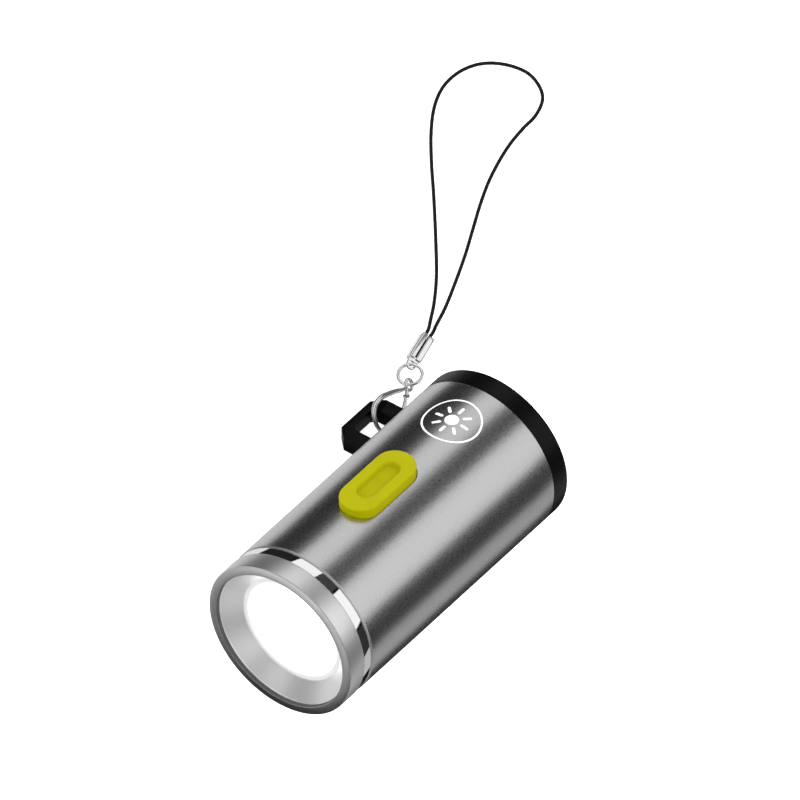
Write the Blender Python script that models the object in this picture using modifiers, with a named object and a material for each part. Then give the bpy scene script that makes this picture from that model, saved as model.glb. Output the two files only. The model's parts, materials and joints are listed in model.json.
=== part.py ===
"""A keychain flashlight with its side button, its screwed tail cap and its clip-on cord loop.

The row frame has its origin at the centre of the tail cap's flat face, +X out of the tail and +Z up.
The flashlight lies on its side: its tube and the outer edge of its lug both touch the table.
In the flashlight's own frame, x runs back from the front face, +y points along the lug and
+z points out of the button.
"""

from math import asin, atan2, cos, hypot, pi, radians, sin

import bmesh
import bpy
from mathutils import Matrix, Vector

MM = 0.001
COLLECTION = "keychain_flashlight"

# Driving sizes of the housing
TUBE_RADIUS = 15.0 * MM
BORE_RADIUS = 13.4 * MM
LENGTH = 61.1 * MM
SIDES = 48
SEAM = 0.05 * MM
RUNNING_GAP = 0.15 * MM

# Places along the axis, from the front face
BEZEL_END = 4.1 * MM
BEZEL_NECK_END = 9.6 * MM
LENS_END = 5.0 * MM
REFLECTOR_FRONT = 5.95 * MM
REFLECTOR_BACK = 12.15 * MM
LED_FRONT = 12.95 * MM
LED_BOARD_START = 13.7 * MM
HEAT_SINK_START = 14.95 * MM
HEAT_SINK_WEB_END = 16.2 * MM
HEAT_SINK_END = 17.8 * MM
DRIVER_START = 16.95 * MM
DRIVER_END = 17.75 * MM
BATTERY_NUB_START = 18.45 * MM
SLEEVE_START = 19.0 * MM
SLEEVE_END = 51.5 * MM
SWITCH_START = 20.6 * MM
SWITCH_END = 36.4 * MM
TUBE_START = 6.2 * MM
TUBE_END = 57.15 * MM
BUTTON_CENTRE = 27.5 * MM
BATTERY_START = 19.3 * MM
BATTERY_END = 52.9 * MM
NECK_START = 51.8 * MM
CAP_FLOOR = 59.0 * MM
CONTACT_START = 58.3 * MM

# Front opening
RIM_RADIUS = 13.3 * MM
GLASS_OPENING = 10.2 * MM
GLASS_FRONT = 3.5 * MM
NECK_RADIUS = 13.25 * MM
NECK_BORE = 11.6 * MM
RIM_ROUND = 0.2 * MM
CONE_START = 0.35 * MM
LENS_GAP = 0.15 * MM
TRIM_STEP = 0.12 * MM
TRIM_BORE_GAP = 0.1 * MM
SEAL_RADIUS = 0.4 * MM

# Light source
REFLECTOR_HOLE = 2.3 * MM
REFLECTOR_MOUTH = 10.6 * MM
REFLECTOR_WALL = 0.8 * MM
LED_HALF = 1.75 * MM
LED_THICKNESS = 0.7 * MM
DOME_RADIUS = 1.25 * MM
LED_BOARD_RADIUS = 8.0 * MM
LED_BOARD_THICKNESS = 1.2 * MM
HEAT_SINK_RADIUS = 13.2 * MM
HEAT_SINK_BORE = 11.9 * MM
SCREW_OFFSET = 6.2 * MM
SCREW_HOLE = 1.1 * MM
SCREW_SHANK = 0.95 * MM
SCREW_HEAD = 1.6 * MM
SCREW_HEAD_HEIGHT = 0.6 * MM
LEAD_BORE = 0.8 * MM
LEAD_RADIUS = 0.35 * MM
LEAD_OFFSET = 8.8 * MM
DRIVER_RADIUS = 11.7 * MM
CHIP_HEIGHT = 0.6 * MM
CONTACT_RADIUS = 3.2 * MM

# Battery and its sleeve
CELL_RADIUS = 8.15 * MM
CELL_EDGE = 0.4 * MM
NUB_RADIUS = 2.9 * MM
SLEEVE_BORE = 8.35 * MM
SLEEVE_RADIUS = 9.0 * MM
SLEEVE_RIM = 13.2 * MM
SLEEVE_RIM_WIDTH = 1.0 * MM
SLEEVE_REAR_RIM = 40.0 * MM

# Button
BUTTON_LENGTH = 16.9 * MM
BUTTON_WIDTH = 7.4 * MM
BUTTON_TOP = 16.65 * MM
BUTTON_LIP_TOP = 11.75 * MM
BUTTON_LIP_BOTTOM = 11.05 * MM
BUTTON_LIP = 0.9 * MM
BUTTON_BASE = 11.5 * MM
BUTTON_EDGE = 0.3 * MM
DISH_LENGTH = 10.2 * MM
DISH_WIDTH = 3.5 * MM
DISH_OFFSET = 0.2 * MM
DISH_DEPTH = 0.9 * MM
DISH_NARROWING = 0.62

# Switch under the button: heights are along the button's way, from the tube's axis
BRACKET_HALF = 5.6 * MM
BRACKET_BOTTOM = 7.4 * MM
BRACKET_TOP = 10.3 * MM
POCKET_FLOOR = 8.95 * MM
SWITCH_BOARD_HALF = 4.0 * MM
SWITCH_BOARD_TOP = 9.65 * MM
SWITCH_HALF = 2.25 * MM
SWITCH_TOP = 10.5 * MM
PLUNGER_RADIUS = 1.1 * MM
PLUNGER_BOTTOM = 10.15 * MM
PLUNGER_TOP = 10.95 * MM

# Lug
LUG_START = 45.1 * MM
LUG_END = 57.1 * MM
LUG_REACH = 22.6 * MM
LUG_THICKNESS = 2.9 * MM
LUG_CHAMFER = 2.0 * MM
HOLE_START = 48.0 * MM
HOLE_END = 54.1 * MM
HOLE_INNER = 16.0 * MM
HOLE_OUTER = 21.1 * MM
HOLE_CHAMFER = 0.8 * MM
LUG_GAP = 0.1 * MM
LUG_RING_START = 44.0 * MM
LUG_RING_END = 51.5 * MM
LUG_RING_BORE = 12.0 * MM
LUG_FOOT = 12.6 * MM

# Tail cap, its contact and its spring
CAP_NECK_RADIUS = 13.2 * MM
CAP_NECK_BORE = 12.0 * MM
CAP_ROUND = 0.5 * MM
CONTACT_PLATE_RADIUS = 11.8 * MM
SPRING_WIRE = 0.4 * MM
SPRING_TURNS = 4.5
SPRING_FLAT_TURNS = 0.75
SPRING_STEPS_PER_TURN = 14
SPRING_SMALL_RADIUS = 4.5 * MM
SPRING_LARGE_RADIUS = 7.0 * MM

# The pose on the table: a flat of the tube and the lug's lower outer edge both touch it
FLAT_RADIUS = TUBE_RADIUS * cos(pi / SIDES)
LUG_CORNER = hypot(LUG_REACH, LUG_THICKNESS / 2)
ROLL = asin(FLAT_RADIUS / LUG_CORNER) - atan2(LUG_THICKNESS / 2, LUG_REACH)
TABLE = -FLAT_RADIUS
FLAT_PHASE = ROLL - pi / SIDES

# Lanyard hardware: places on the table are (x from the front face, y, height above the table)
CLASP_WIRE = 0.46 * MM
CLASP_LEAN = 0.48
CLASP_BAR_REACH = 19.3 * MM
KNUCKLE_WIRE = 0.34 * MM
GATE_WIRE = 0.36 * MM
GATE_TAB_WIRE = 0.28 * MM
CLASP_EYE = (63.9 * MM, 16.3 * MM, 1.75 * MM)
EYE_RADIUS = 0.95 * MM
EYE_WIRE = 0.32 * MM
CRIMP_HOLE = (67.3 * MM, 18.6 * MM, 1.3 * MM)
CRIMP_YAW = radians(14)
CRIMP_LENGTH = 5.4 * MM
CRIMP_WIDTH = 2.5 * MM
CRIMP_HEIGHT = 1.9 * MM
CRIMP_TAB = 1.2 * MM
CRIMP_EDGE = 0.35 * MM
CRIMP_LIFT = 0.05 * MM
CRIMP_EYE_WIRE = 0.26 * MM
CRIMP_NECK_START = 0.9 * MM
CRIMP_NECK_HALF_WIDTH = 0.45 * MM
CRIMP_NECK_HALF_HEIGHT = 0.22 * MM
RING_WIRE = 0.3 * MM
RING_TILT = radians(35)
CORD_RADIUS = 0.34 * MM
CORD_POINTS = 78
CORD_REST = CORD_RADIUS + 0.02 * MM
CORD_EXIT_GAP = 0.3 * MM
CORD_EXIT_HEIGHT = 1.0 * MM

# Paths in millimetres on the clasp's own plane, from the middle of the lug's bar
HOOK_NECK_DROP = ((0, 0.05), (-1.3, 0.55), (-3.0, 1.45))
HOOK_BOW = (
    (2.0, 2.55), (0.2, 3.15), (-1.8, 3.2), (-3.3, 2.2), (-3.85, 0.5), (-3.4, -1.3), (-2.4, -2.45), (-1.3, -3.0),
)
PIVOT_FROM_NECK = (-0.9, -1.05)

# The same for the gate, from its pivot
GATE_ROUTE = ((-0.55, -0.25), (-1.6, -0.9), (-3.2, -1.6), (-5.0, -2.05), (-6.1, -2.1))
GATE_TAB_ROUTE = ((-1.6, -0.9), (-1.4, -1.5), (-1.0, -1.8))

# The LED's leads run back through the heat sink, in millimetres: (x, distance from the axis)
LEAD_ROUTE = ((13.25, 7.0), (13.1, 7.7), (13.2, 8.5), (13.9, 8.8), (15.2, 8.8), (16.6, 8.8))

# The driver board's chips, in millimetres: (y, z, half width)
CHIPS = ((-3.5, 2.0, 1.6), (3.8, -1.0, 1.2), (0.5, -5.0, 1.4))

# The cord loop's route on the table, in millimetres: (x from the front face, y)
CORD_ROUTE = (
    (77.0, 21.9), (79.9, 23.7), (83.9, 26.9), (88.9, 31.9), (94.0, 37.3),
    (97.7, 41.4), (101.5, 45.2), (105.4, 48.2), (109.4, 49.9), (113.5, 50.2),
    (117.4, 49.4), (120.8, 47.7), (123.8, 45.0), (125.7, 41.9), (125.7, 38.9),
    (124.3, 36.9), (121.1, 35.8), (117.4, 35.6), (113.2, 35.1), (108.9, 34.1),
    (104.6, 32.7), (100.3, 30.8), (95.8, 28.5), (91.3, 26.2), (86.2, 23.9),
    (81.1, 21.8), (77.6, 20.7),
)


def clear_scene():
    for item in list(bpy.data.objects):
        bpy.data.objects.remove(item, do_unlink=True)


def new_collection(name):
    made = bpy.data.collections.new(name)
    bpy.context.scene.collection.children.link(made)
    return made


def new_material(name, colour, roughness, metallic=0.0):
    made = bpy.data.materials.new(name)
    made.use_nodes = True
    shader = made.node_tree.nodes["Principled BSDF"]
    shader.inputs["Base Color"].default_value = (*colour, 1.0)
    shader.inputs["Roughness"].default_value = roughness
    shader.inputs["Metallic"].default_value = metallic
    made.diffuse_color = (*colour, 1.0)
    return made


clear_scene()
parts = new_collection(COLLECTION)
cutters = new_collection("cutters")

ALUMINIUM = new_material("satin_aluminium", (0.62, 0.62, 0.63), 0.32, 1.0)
POLISHED = new_material("polished_steel", (0.85, 0.85, 0.86), 0.08, 1.0)
GLASS = new_material("clear_acrylic", (0.95, 0.97, 1.0), 0.05)
REFLECTIVE = new_material("vacuum_metal", (0.9, 0.9, 0.9), 0.05, 1.0)
RUBBER = new_material("black_silicone", (0.03, 0.03, 0.03), 0.7)
PHOSPHOR = new_material("led_phosphor", (0.95, 0.85, 0.35), 0.4)
CIRCUIT = new_material("circuit_board", (0.05, 0.22, 0.1), 0.5)
BRASS = new_material("brass", (0.8, 0.6, 0.25), 0.3, 1.0)
BLACK = new_material("black_plastic", (0.02, 0.02, 0.02), 0.45)
LIME = new_material("lime_plastic", (0.5, 0.47, 0.0), 0.45)
CELL = new_material("battery_wrap", (0.1, 0.2, 0.5), 0.4)
STEEL = new_material("steel", (0.6, 0.6, 0.62), 0.25, 1.0)
CORD = new_material("black_cord", (0.02, 0.02, 0.02), 0.8)
RED_WIRE = new_material("red_wire", (0.6, 0.03, 0.03), 0.5)
BLACK_WIRE = new_material("black_wire", (0.03, 0.03, 0.03), 0.5)


# ---- helpers ----

def place_in(collection, item, parent=None):
    for owner in item.users_collection:
        owner.objects.unlink(item)
    collection.objects.link(item)
    item.parent = parent
    return item


def add_mesh(name, mesh, material, parent=None, collection=None):
    made = bpy.data.objects.new(name, mesh)
    if material:
        mesh.materials.append(material)
    return place_in(collection or parts, made, parent)


def add_empty(name, parent=None):
    made = bpy.data.objects.new(name, None)
    made.empty_display_size = 5 * MM
    return place_in(parts, made, parent)


def smooth(item):
    item.data.shade_smooth()
    item.data.set_sharp_from_angle(angle=radians(35))


def hide_cutter(item):
    item.hide_render = True
    item.display_type = "WIRE"
    return item


def turned(name, outline, material, parent, sides=SIDES, collection=None):
    """A solid of revolution about the x axis, from (x, radius) points, closed unless they end on the axis."""
    on_axis = outline[0][1] == 0 and outline[-1][1] == 0
    pairs = list(zip(outline, outline[1:] + outline[:1]))
    area = sum(r0 * x1 - r1 * x0 for (x0, r0), (x1, r1) in pairs)
    points = outline if area < 0 else outline[::-1]
    shape = bmesh.new()
    verts = [shape.verts.new((radius, 0, x)) for x, radius in points]
    for first, second in zip(verts, verts[1:]):
        shape.edges.new((first, second))
    if not on_axis:
        shape.edges.new((verts[-1], verts[0]))
    mesh = bpy.data.meshes.new(name)
    shape.to_mesh(mesh)
    shape.free()
    made = add_mesh(name, mesh, material, parent, collection)
    screw = made.modifiers.new("turn", "SCREW")
    screw.steps = screw.render_steps = sides
    screw.use_merge_vertices = True
    screw.merge_threshold = 0.00001
    screw.use_smooth_shade = True
    made.matrix_local = Matrix.Rotation(FLAT_PHASE, 4, "X") @ Matrix.Rotation(pi / 2, 4, "Y")
    return made


def disc(name, start, end, radius, material, parent, sides=SIDES):
    return turned(name, [(end, 0), (end, radius), (start, radius), (start, 0)], material, parent, sides)


def flat_curve(name, outlines, thickness):
    """A flat plate on the xy plane from closed outlines, the later ones being holes."""
    curve = bpy.data.curves.new(name, "CURVE")
    curve.dimensions = "2D"
    curve.fill_mode = "BOTH"
    curve.extrude = thickness / 2
    for outline in outlines:
        spline = curve.splines.new("POLY")
        spline.points.add(len(outline) - 1)
        for point, (x, y) in zip(spline.points, outline):
            point.co = (x, y, 0, 1)
        spline.use_cyclic_u = True
    return curve


def as_mesh(name, curve):
    """The closed mesh of a curve, with its caps welded on."""
    item = bpy.data.objects.new(name, curve)
    bpy.context.scene.collection.objects.link(item)
    bpy.context.view_layer.update()
    mesh = bpy.data.meshes.new_from_object(item.evaluated_get(bpy.context.evaluated_depsgraph_get()))
    bpy.data.objects.remove(item, do_unlink=True)
    shape = bmesh.new()
    shape.from_mesh(mesh)
    bmesh.ops.remove_doubles(shape, verts=shape.verts, dist=0.000001)
    bmesh.ops.recalc_face_normals(shape, faces=shape.faces)
    shape.to_mesh(mesh)
    shape.free()
    mesh.materials.clear()
    mesh.name = name
    return mesh


def plate(name, outlines, low, high, material, parent=None, collection=None):
    mesh = as_mesh(name, flat_curve(name, outlines, high - low))
    made = add_mesh(name, mesh, material, parent, collection)
    made.location.z = (low + high) / 2
    return made


def box_mesh(name, low, high):
    shape = bmesh.new()
    bmesh.ops.create_cube(shape, size=1)
    size = Vector(high) - Vector(low)
    middle = (Vector(high) + Vector(low)) / 2
    bmesh.ops.scale(shape, vec=size, verts=shape.verts)
    bmesh.ops.translate(shape, vec=middle, verts=shape.verts)
    mesh = bpy.data.meshes.new(name)
    shape.to_mesh(mesh)
    shape.free()
    return mesh


def cylinder_mesh(name, radius, start, end, sides=24):
    """A cylinder along its own z axis."""
    shape = bmesh.new()
    depth = end - start
    bmesh.ops.create_cone(shape, cap_ends=True, segments=sides, radius1=radius, radius2=radius, depth=depth)
    bmesh.ops.translate(shape, vec=(0, 0, (start + end) / 2), verts=shape.verts)
    mesh = bpy.data.meshes.new(name)
    shape.to_mesh(mesh)
    shape.free()
    return mesh


def boolean(item, other, operation):
    modifier = item.modifiers.new(operation.lower(), "BOOLEAN")
    modifier.operation = operation
    modifier.solver = "EXACT"
    modifier.object = other
    hide_cutter(other)


def bevel(item, width, segments=2, angle=radians(40)):
    modifier = item.modifiers.new("edges", "BEVEL")
    modifier.width = width
    modifier.segments = segments
    modifier.limit_method = "ANGLE"
    modifier.angle_limit = angle


def stadium(length, width, centre, arc_points=12):
    """A round-ended slot outline along x."""
    radius = width / 2
    reach = length / 2 - radius
    right = [
        (centre + reach + radius * cos(a), radius * sin(a))
        for a in (-pi / 2 + pi * i / arc_points for i in range(arc_points + 1))
    ]
    left = [
        (centre - reach - radius * cos(a), -radius * sin(a))
        for a in (-pi / 2 + pi * i / arc_points for i in range(arc_points + 1))
    ]
    return right + left


def smooth_route(points, count, closed=False):
    """Evenly spaced points on a Catmull-Rom curve through the given ones."""
    points = [Vector(point) for point in points]
    if closed:
        padded = [points[-1], *points, points[0], points[1]]
    else:
        padded = [2 * points[0] - points[1], *points, 2 * points[-1] - points[-2]]
    fine = []
    for a, b, c, d in zip(padded, padded[1:], padded[2:], padded[3:]):
        for step in range(16):
            t = step / 16
            square = (2 * a - 5 * b + 4 * c - d) * t**2
            cube = (3 * b - a - 3 * c + d) * t**3
            fine.append(0.5 * (2 * b + (c - a) * t + square + cube))
    fine.append(points[0] if closed else points[-1])
    lengths = [0.0]
    for first, second in zip(fine, fine[1:]):
        lengths.append(lengths[-1] + (second - first).length)
    spaced = []
    index = 0
    for step in range(count):
        target = lengths[-1] * step / (count - (0 if closed else 1))
        while index < len(lengths) - 2 and lengths[index + 1] < target:
            index += 1
        share = (target - lengths[index]) / (lengths[index + 1] - lengths[index])
        spaced.append(fine[index].lerp(fine[index + 1], share))
    return spaced


def wire_curve(name, points, radius, closed=False, thickness=None):
    """A round wire. thickness scales its radius along its length."""
    curve = bpy.data.curves.new(name, "CURVE")
    curve.dimensions = "3D"
    curve.bevel_depth = radius
    curve.bevel_resolution = 2
    curve.use_fill_caps = True
    spline = curve.splines.new("POLY")
    spline.points.add(len(points) - 1)
    for index, (point, place) in enumerate(zip(spline.points, points)):
        point.co = (*place, 1)
        point.radius = thickness(index / (len(points) - 1)) if thickness else 1.0
    spline.use_cyclic_u = closed
    return curve


def wire(name, points, radius, material, parent=None, closed=False, thickness=None, collection=None):
    mesh = as_mesh(name, wire_curve(name, points, radius, closed, thickness))
    made = add_mesh(name, mesh, material, parent, collection)
    made.data.shade_smooth()
    return made


# ---- head ----

def make_bezel(root):
    outline = [
        (0, RIM_RADIUS), (0, TUBE_RADIUS - RIM_ROUND), (RIM_ROUND, TUBE_RADIUS), (BEZEL_END, TUBE_RADIUS),
        (BEZEL_END, NECK_RADIUS), (BEZEL_NECK_END, NECK_RADIUS), (BEZEL_NECK_END, NECK_BORE),
        (GLASS_FRONT, NECK_BORE), (GLASS_FRONT, GLASS_OPENING), (CONE_START, RIM_RADIUS - RIM_ROUND / 2),
    ]
    turned("bezel", outline, ALUMINIUM, root)


def make_trim_ring(root):
    start = BEZEL_END + SEAM
    end = TUBE_START - SEAM
    outer = TUBE_RADIUS - TRIM_STEP
    inner = NECK_RADIUS + TRIM_BORE_GAP
    turned("trim_ring", [(start, inner), (start, outer), (end, outer), (end, inner)], POLISHED, root)


def make_lens(root):
    edge = NECK_BORE - LENS_GAP
    disc("front_lens", GLASS_FRONT + SEAM, LENS_END, edge, GLASS, root)
    middle = LENS_END + SEAM + SEAL_RADIUS
    ring = [
        (middle + SEAL_RADIUS * cos(a), edge - 2 * SEAM - SEAL_RADIUS + SEAL_RADIUS * sin(a))
        for a in (2 * pi * i / 8 for i in range(8))
    ]
    turned("lens_seal", ring, RUBBER, root)


def make_reflector(root):
    """A parabolic cup: radius squared grows evenly from the back hole to the front."""
    depth = REFLECTOR_BACK - REFLECTOR_FRONT
    steps = 7
    inner = []
    for step in range(steps + 1):
        radius = REFLECTOR_HOLE + (REFLECTOR_MOUTH - REFLECTOR_HOLE) * step / steps
        share = (radius**2 - REFLECTOR_HOLE**2) / (REFLECTOR_MOUTH**2 - REFLECTOR_HOLE**2)
        inner.append((REFLECTOR_BACK - depth * share, radius))
    flange = NECK_BORE - LENS_GAP
    outer = [(REFLECTOR_FRONT, flange), (REFLECTOR_FRONT + REFLECTOR_WALL, flange)]
    outer += [(x + REFLECTOR_WALL, radius + REFLECTOR_WALL / 2) for x, radius in inner[-2::-1]]
    turned("reflector", inner + outer, REFLECTIVE, root)


def make_emitter(root):
    """A square LED package with its dome."""
    back = LED_FRONT + LED_THICKNESS
    package = box_mesh("led_emitter", (LED_FRONT, -LED_HALF, -LED_HALF), (back, LED_HALF, LED_HALF))
    emitter = add_mesh("led_emitter", package, PHOSPHOR, root)
    foot = LED_FRONT + SEAM
    steps = 5
    curve = [
        (foot - DOME_RADIUS * sin(a), DOME_RADIUS * cos(a)) for a in (pi / 2 * i / steps for i in range(steps))
    ]
    outline = [(foot + LED_THICKNESS / 3, 0), *curve, (foot - DOME_RADIUS, 0)]
    boolean(emitter, turned("led_dome", outline, None, root, 24, cutters), "UNION")


def drill(item, name, radius, offset):
    """A hole right through a board, along x, at an offset (y, z) from the axis."""
    length = HEAT_SINK_END - REFLECTOR_BACK
    hole = add_mesh(name, cylinder_mesh(name, radius, 0, 2 * length), None, item.parent, cutters)
    along_x = Matrix.Rotation(pi / 2, 4, "Y")
    hole.matrix_local = Matrix.Translation((REFLECTOR_BACK, *offset)) @ along_x
    boolean(item, hole, "DIFFERENCE")


def make_board_screw(number, root, offset):
    head = LED_BOARD_START - SEAM
    top = head - SCREW_HEAD_HEIGHT
    outline = [
        (top, 0), (top, SCREW_HEAD - 0.3 * MM), (top + 0.25 * MM, SCREW_HEAD), (head, SCREW_HEAD),
        (head, SCREW_SHANK), (HEAT_SINK_WEB_END - 2 * SEAM, SCREW_SHANK), (HEAT_SINK_WEB_END - 2 * SEAM, 0),
    ]
    screw = turned(f"board_screw_{number}", outline, STEEL, root, 24)
    screw.location.y = offset


def make_led(root):
    make_emitter(root)
    board_end = LED_BOARD_START + LED_BOARD_THICKNESS
    board = disc("led_board", LED_BOARD_START, board_end, LED_BOARD_RADIUS, ALUMINIUM, root)
    outline = [
        (HEAT_SINK_START, 0), (HEAT_SINK_START, HEAT_SINK_RADIUS), (HEAT_SINK_END, HEAT_SINK_RADIUS),
        (HEAT_SINK_END, HEAT_SINK_BORE), (HEAT_SINK_WEB_END, HEAT_SINK_BORE), (HEAT_SINK_WEB_END, 0),
    ]
    sink = turned("heat_sink", outline, ALUMINIUM, root)
    for number, side in enumerate((-1, 1), 1):
        for item in (board, sink):
            drill(item, f"screw_hole_{number}_{item.name}", SCREW_HOLE, (side * SCREW_OFFSET, 0))
        make_board_screw(number, root, side * SCREW_OFFSET)
    for name, side, colour in (("led_wire_positive", 1, RED_WIRE), ("led_wire_negative", -1, BLACK_WIRE)):
        drill(sink, f"{name}_bore", LEAD_BORE, (0, side * LEAD_OFFSET))
        path = smooth_route([(x * MM, 0, side * z * MM) for x, z in LEAD_ROUTE], 14)
        wire(name, path, LEAD_RADIUS, colour, root)


def make_driver(root):
    board = disc("driver_board", DRIVER_START, DRIVER_END, DRIVER_RADIUS, CIRCUIT, root)
    for number, (y, z, half) in enumerate(CHIPS, 1):
        low = (DRIVER_START - CHIP_HEIGHT, (y - half) * MM, (z - half) * MM)
        high = (DRIVER_START + SEAM, (y + half) * MM, (z + half) * MM)
        chip = add_mesh(f"chip_{number}", box_mesh("chip", low, high), None, root, cutters)
        boolean(board, chip, "UNION")
    tip = BATTERY_NUB_START - 2 * SEAM
    outline = [
        (HEAT_SINK_END, 0), (HEAT_SINK_END, CONTACT_RADIUS), (HEAT_SINK_END + 0.3 * MM, CONTACT_RADIUS),
        (tip - SEAM, CONTACT_RADIUS / 2), (tip, 0),
    ]
    turned("positive_contact", outline, BRASS, root, 24)


# ---- body ----

def make_tube(root):
    edge = RUNNING_GAP
    outline = [
        (TUBE_START, BORE_RADIUS), (TUBE_START, TUBE_RADIUS - edge), (TUBE_START + edge, TUBE_RADIUS),
        (TUBE_END, TUBE_RADIUS), (TUBE_END, BORE_RADIUS),
    ]
    tube = turned("body_tube", outline, ALUMINIUM, root)
    opening = stadium(BUTTON_LENGTH + 2 * RUNNING_GAP, BUTTON_WIDTH + 2 * RUNNING_GAP, BUTTON_CENTRE)
    slot = plate("button_slot", [opening], BRACKET_TOP, TUBE_RADIUS + BUTTON_EDGE, None, root, cutters)
    boolean(tube, slot, "DIFFERENCE")
    half = LUG_THICKNESS / 2 + LUG_GAP
    low = (LUG_START - LUG_GAP, SLEEVE_RADIUS, -half)
    high = (TUBE_END + CAP_ROUND, TUBE_RADIUS + CAP_ROUND, half)
    lug_slot = add_mesh("lug_slot", box_mesh("lug_slot", low, high), None, root, cutters)
    boolean(tube, lug_slot, "DIFFERENCE")


def make_battery(root):
    cell = [
        (BATTERY_NUB_START, 0), (BATTERY_NUB_START, NUB_RADIUS), (BATTERY_START, NUB_RADIUS),
        (BATTERY_START, CELL_RADIUS - CELL_EDGE), (BATTERY_START + CELL_EDGE, CELL_RADIUS),
        (BATTERY_END - CELL_EDGE, CELL_RADIUS), (BATTERY_END, CELL_RADIUS - CELL_EDGE), (BATTERY_END, 0),
    ]
    turned("battery_cell", cell, CELL, root)
    front_rim_end = SLEEVE_START + SLEEVE_RIM_WIDTH
    rear_rim_end = SLEEVE_REAR_RIM + SLEEVE_RIM_WIDTH
    outline = [
        (SLEEVE_START, SLEEVE_BORE), (SLEEVE_START, SLEEVE_RIM), (front_rim_end, SLEEVE_RIM),
        (front_rim_end, SLEEVE_RADIUS), (SLEEVE_REAR_RIM, SLEEVE_RADIUS), (SLEEVE_REAR_RIM, SLEEVE_RIM),
        (rear_rim_end, SLEEVE_RIM), (rear_rim_end, SLEEVE_RADIUS), (SLEEVE_END, SLEEVE_RADIUS),
        (SLEEVE_END, SLEEVE_BORE),
    ]
    sleeve = turned("battery_sleeve", outline, BLACK, root)
    half = BRACKET_HALF + 2 * RUNNING_GAP
    low = (SLEEVE_START - SLEEVE_RIM_WIDTH, -half, SLEEVE_RADIUS + SEAM)
    high = (SWITCH_END + SLEEVE_RIM_WIDTH, half, TUBE_RADIUS)
    clearance = add_mesh("switch_clearance", box_mesh("clearance", low, high), None, root, cutters)
    boolean(sleeve, clearance, "DIFFERENCE")


def make_switch(root, button):
    wall = 0.8 * MM
    saddle = SLEEVE_RADIUS + 2 * SEAM
    low, high = (SWITCH_START, -BRACKET_HALF, BRACKET_BOTTOM), (SWITCH_END, BRACKET_HALF, BRACKET_TOP)
    bracket = add_mesh("switch_bracket", box_mesh("switch_bracket", low, high), BLACK, root)
    saddle_outline = [
        (SLEEVE_START, 0), (SLEEVE_START, saddle), (SLEEVE_REAR_RIM, saddle), (SLEEVE_REAR_RIM, 0),
    ]
    boolean(bracket, turned("bracket_saddle", saddle_outline, None, root, SIDES, cutters), "DIFFERENCE")
    pocket_half = SWITCH_BOARD_HALF + 4 * SEAM
    low = (SWITCH_START + wall, -pocket_half, POCKET_FLOOR)
    high = (SWITCH_END - wall, pocket_half, BRACKET_TOP + wall)
    pocket = add_mesh("bracket_pocket", box_mesh("pocket", low, high), None, root, cutters)
    boolean(bracket, pocket, "DIFFERENCE")
    low = (SWITCH_START + wall + 4 * SEAM, -SWITCH_BOARD_HALF, POCKET_FLOOR + 3 * SEAM)
    high = (SWITCH_END - wall - 4 * SEAM, SWITCH_BOARD_HALF, SWITCH_BOARD_TOP)
    add_mesh("switch_board", box_mesh("switch_board", low, high), CIRCUIT, root)
    low = (BUTTON_CENTRE - SWITCH_HALF, -SWITCH_HALF, SWITCH_BOARD_TOP + SEAM)
    high = (BUTTON_CENTRE + SWITCH_HALF, SWITCH_HALF, SWITCH_TOP)
    switch = add_mesh("tact_switch", box_mesh("tact_switch", low, high), STEEL, root)
    well_mesh = cylinder_mesh("well", PLUNGER_RADIUS + 4 * SEAM, BRACKET_BOTTOM, BRACKET_TOP + wall)
    well = add_mesh("switch_well", well_mesh, None, root, cutters)
    well.location.x = BUTTON_CENTRE
    boolean(switch, well, "DIFFERENCE")
    plunger = cylinder_mesh("plunger", PLUNGER_RADIUS, PLUNGER_BOTTOM, PLUNGER_TOP)
    add_mesh("switch_plunger", plunger, BLACK, button)


def make_button(root, button):
    """The button's own frame has its x measured from the middle of the button."""
    cap = plate("button_cap", [stadium(BUTTON_LENGTH, BUTTON_WIDTH, 0)], BUTTON_BASE, BUTTON_TOP, LIME, button)
    bevel(cap, BUTTON_EDGE)
    outline = stadium(DISH_LENGTH, DISH_WIDTH, DISH_OFFSET)
    low, high = BUTTON_TOP - DISH_DEPTH, BUTTON_TOP + DISH_DEPTH
    dish = plate("button_dish", [outline], low, high, None, button, cutters)
    along = 1 - (1 - DISH_NARROWING) * DISH_WIDTH / DISH_LENGTH
    for vertex in dish.data.vertices:
        if vertex.co.z < 0:
            vertex.co.x = DISH_OFFSET + (vertex.co.x - DISH_OFFSET) * along
            vertex.co.y *= DISH_NARROWING
    boolean(cap, dish, "DIFFERENCE")
    rim = stadium(BUTTON_LENGTH + 2 * BUTTON_LIP, BUTTON_WIDTH + 2 * BUTTON_LIP, 0)
    lip = plate("button_lip", [rim], BUTTON_LIP_BOTTOM, BUTTON_LIP_TOP, None, button, cutters)
    boolean(cap, lip, "UNION")
    gap = 0.5 * MM
    gasket = [
        stadium(BUTTON_LENGTH + 3 * gap, BUTTON_WIDTH + 3 * gap, BUTTON_CENTRE),
        stadium(BUTTON_LENGTH + gap, BUTTON_WIDTH + gap, BUTTON_CENTRE),
    ]
    low = BUTTON_LIP_TOP + 2 * SEAM
    plate("button_gasket", gasket, low, low + gap, RUBBER, root)


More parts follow.
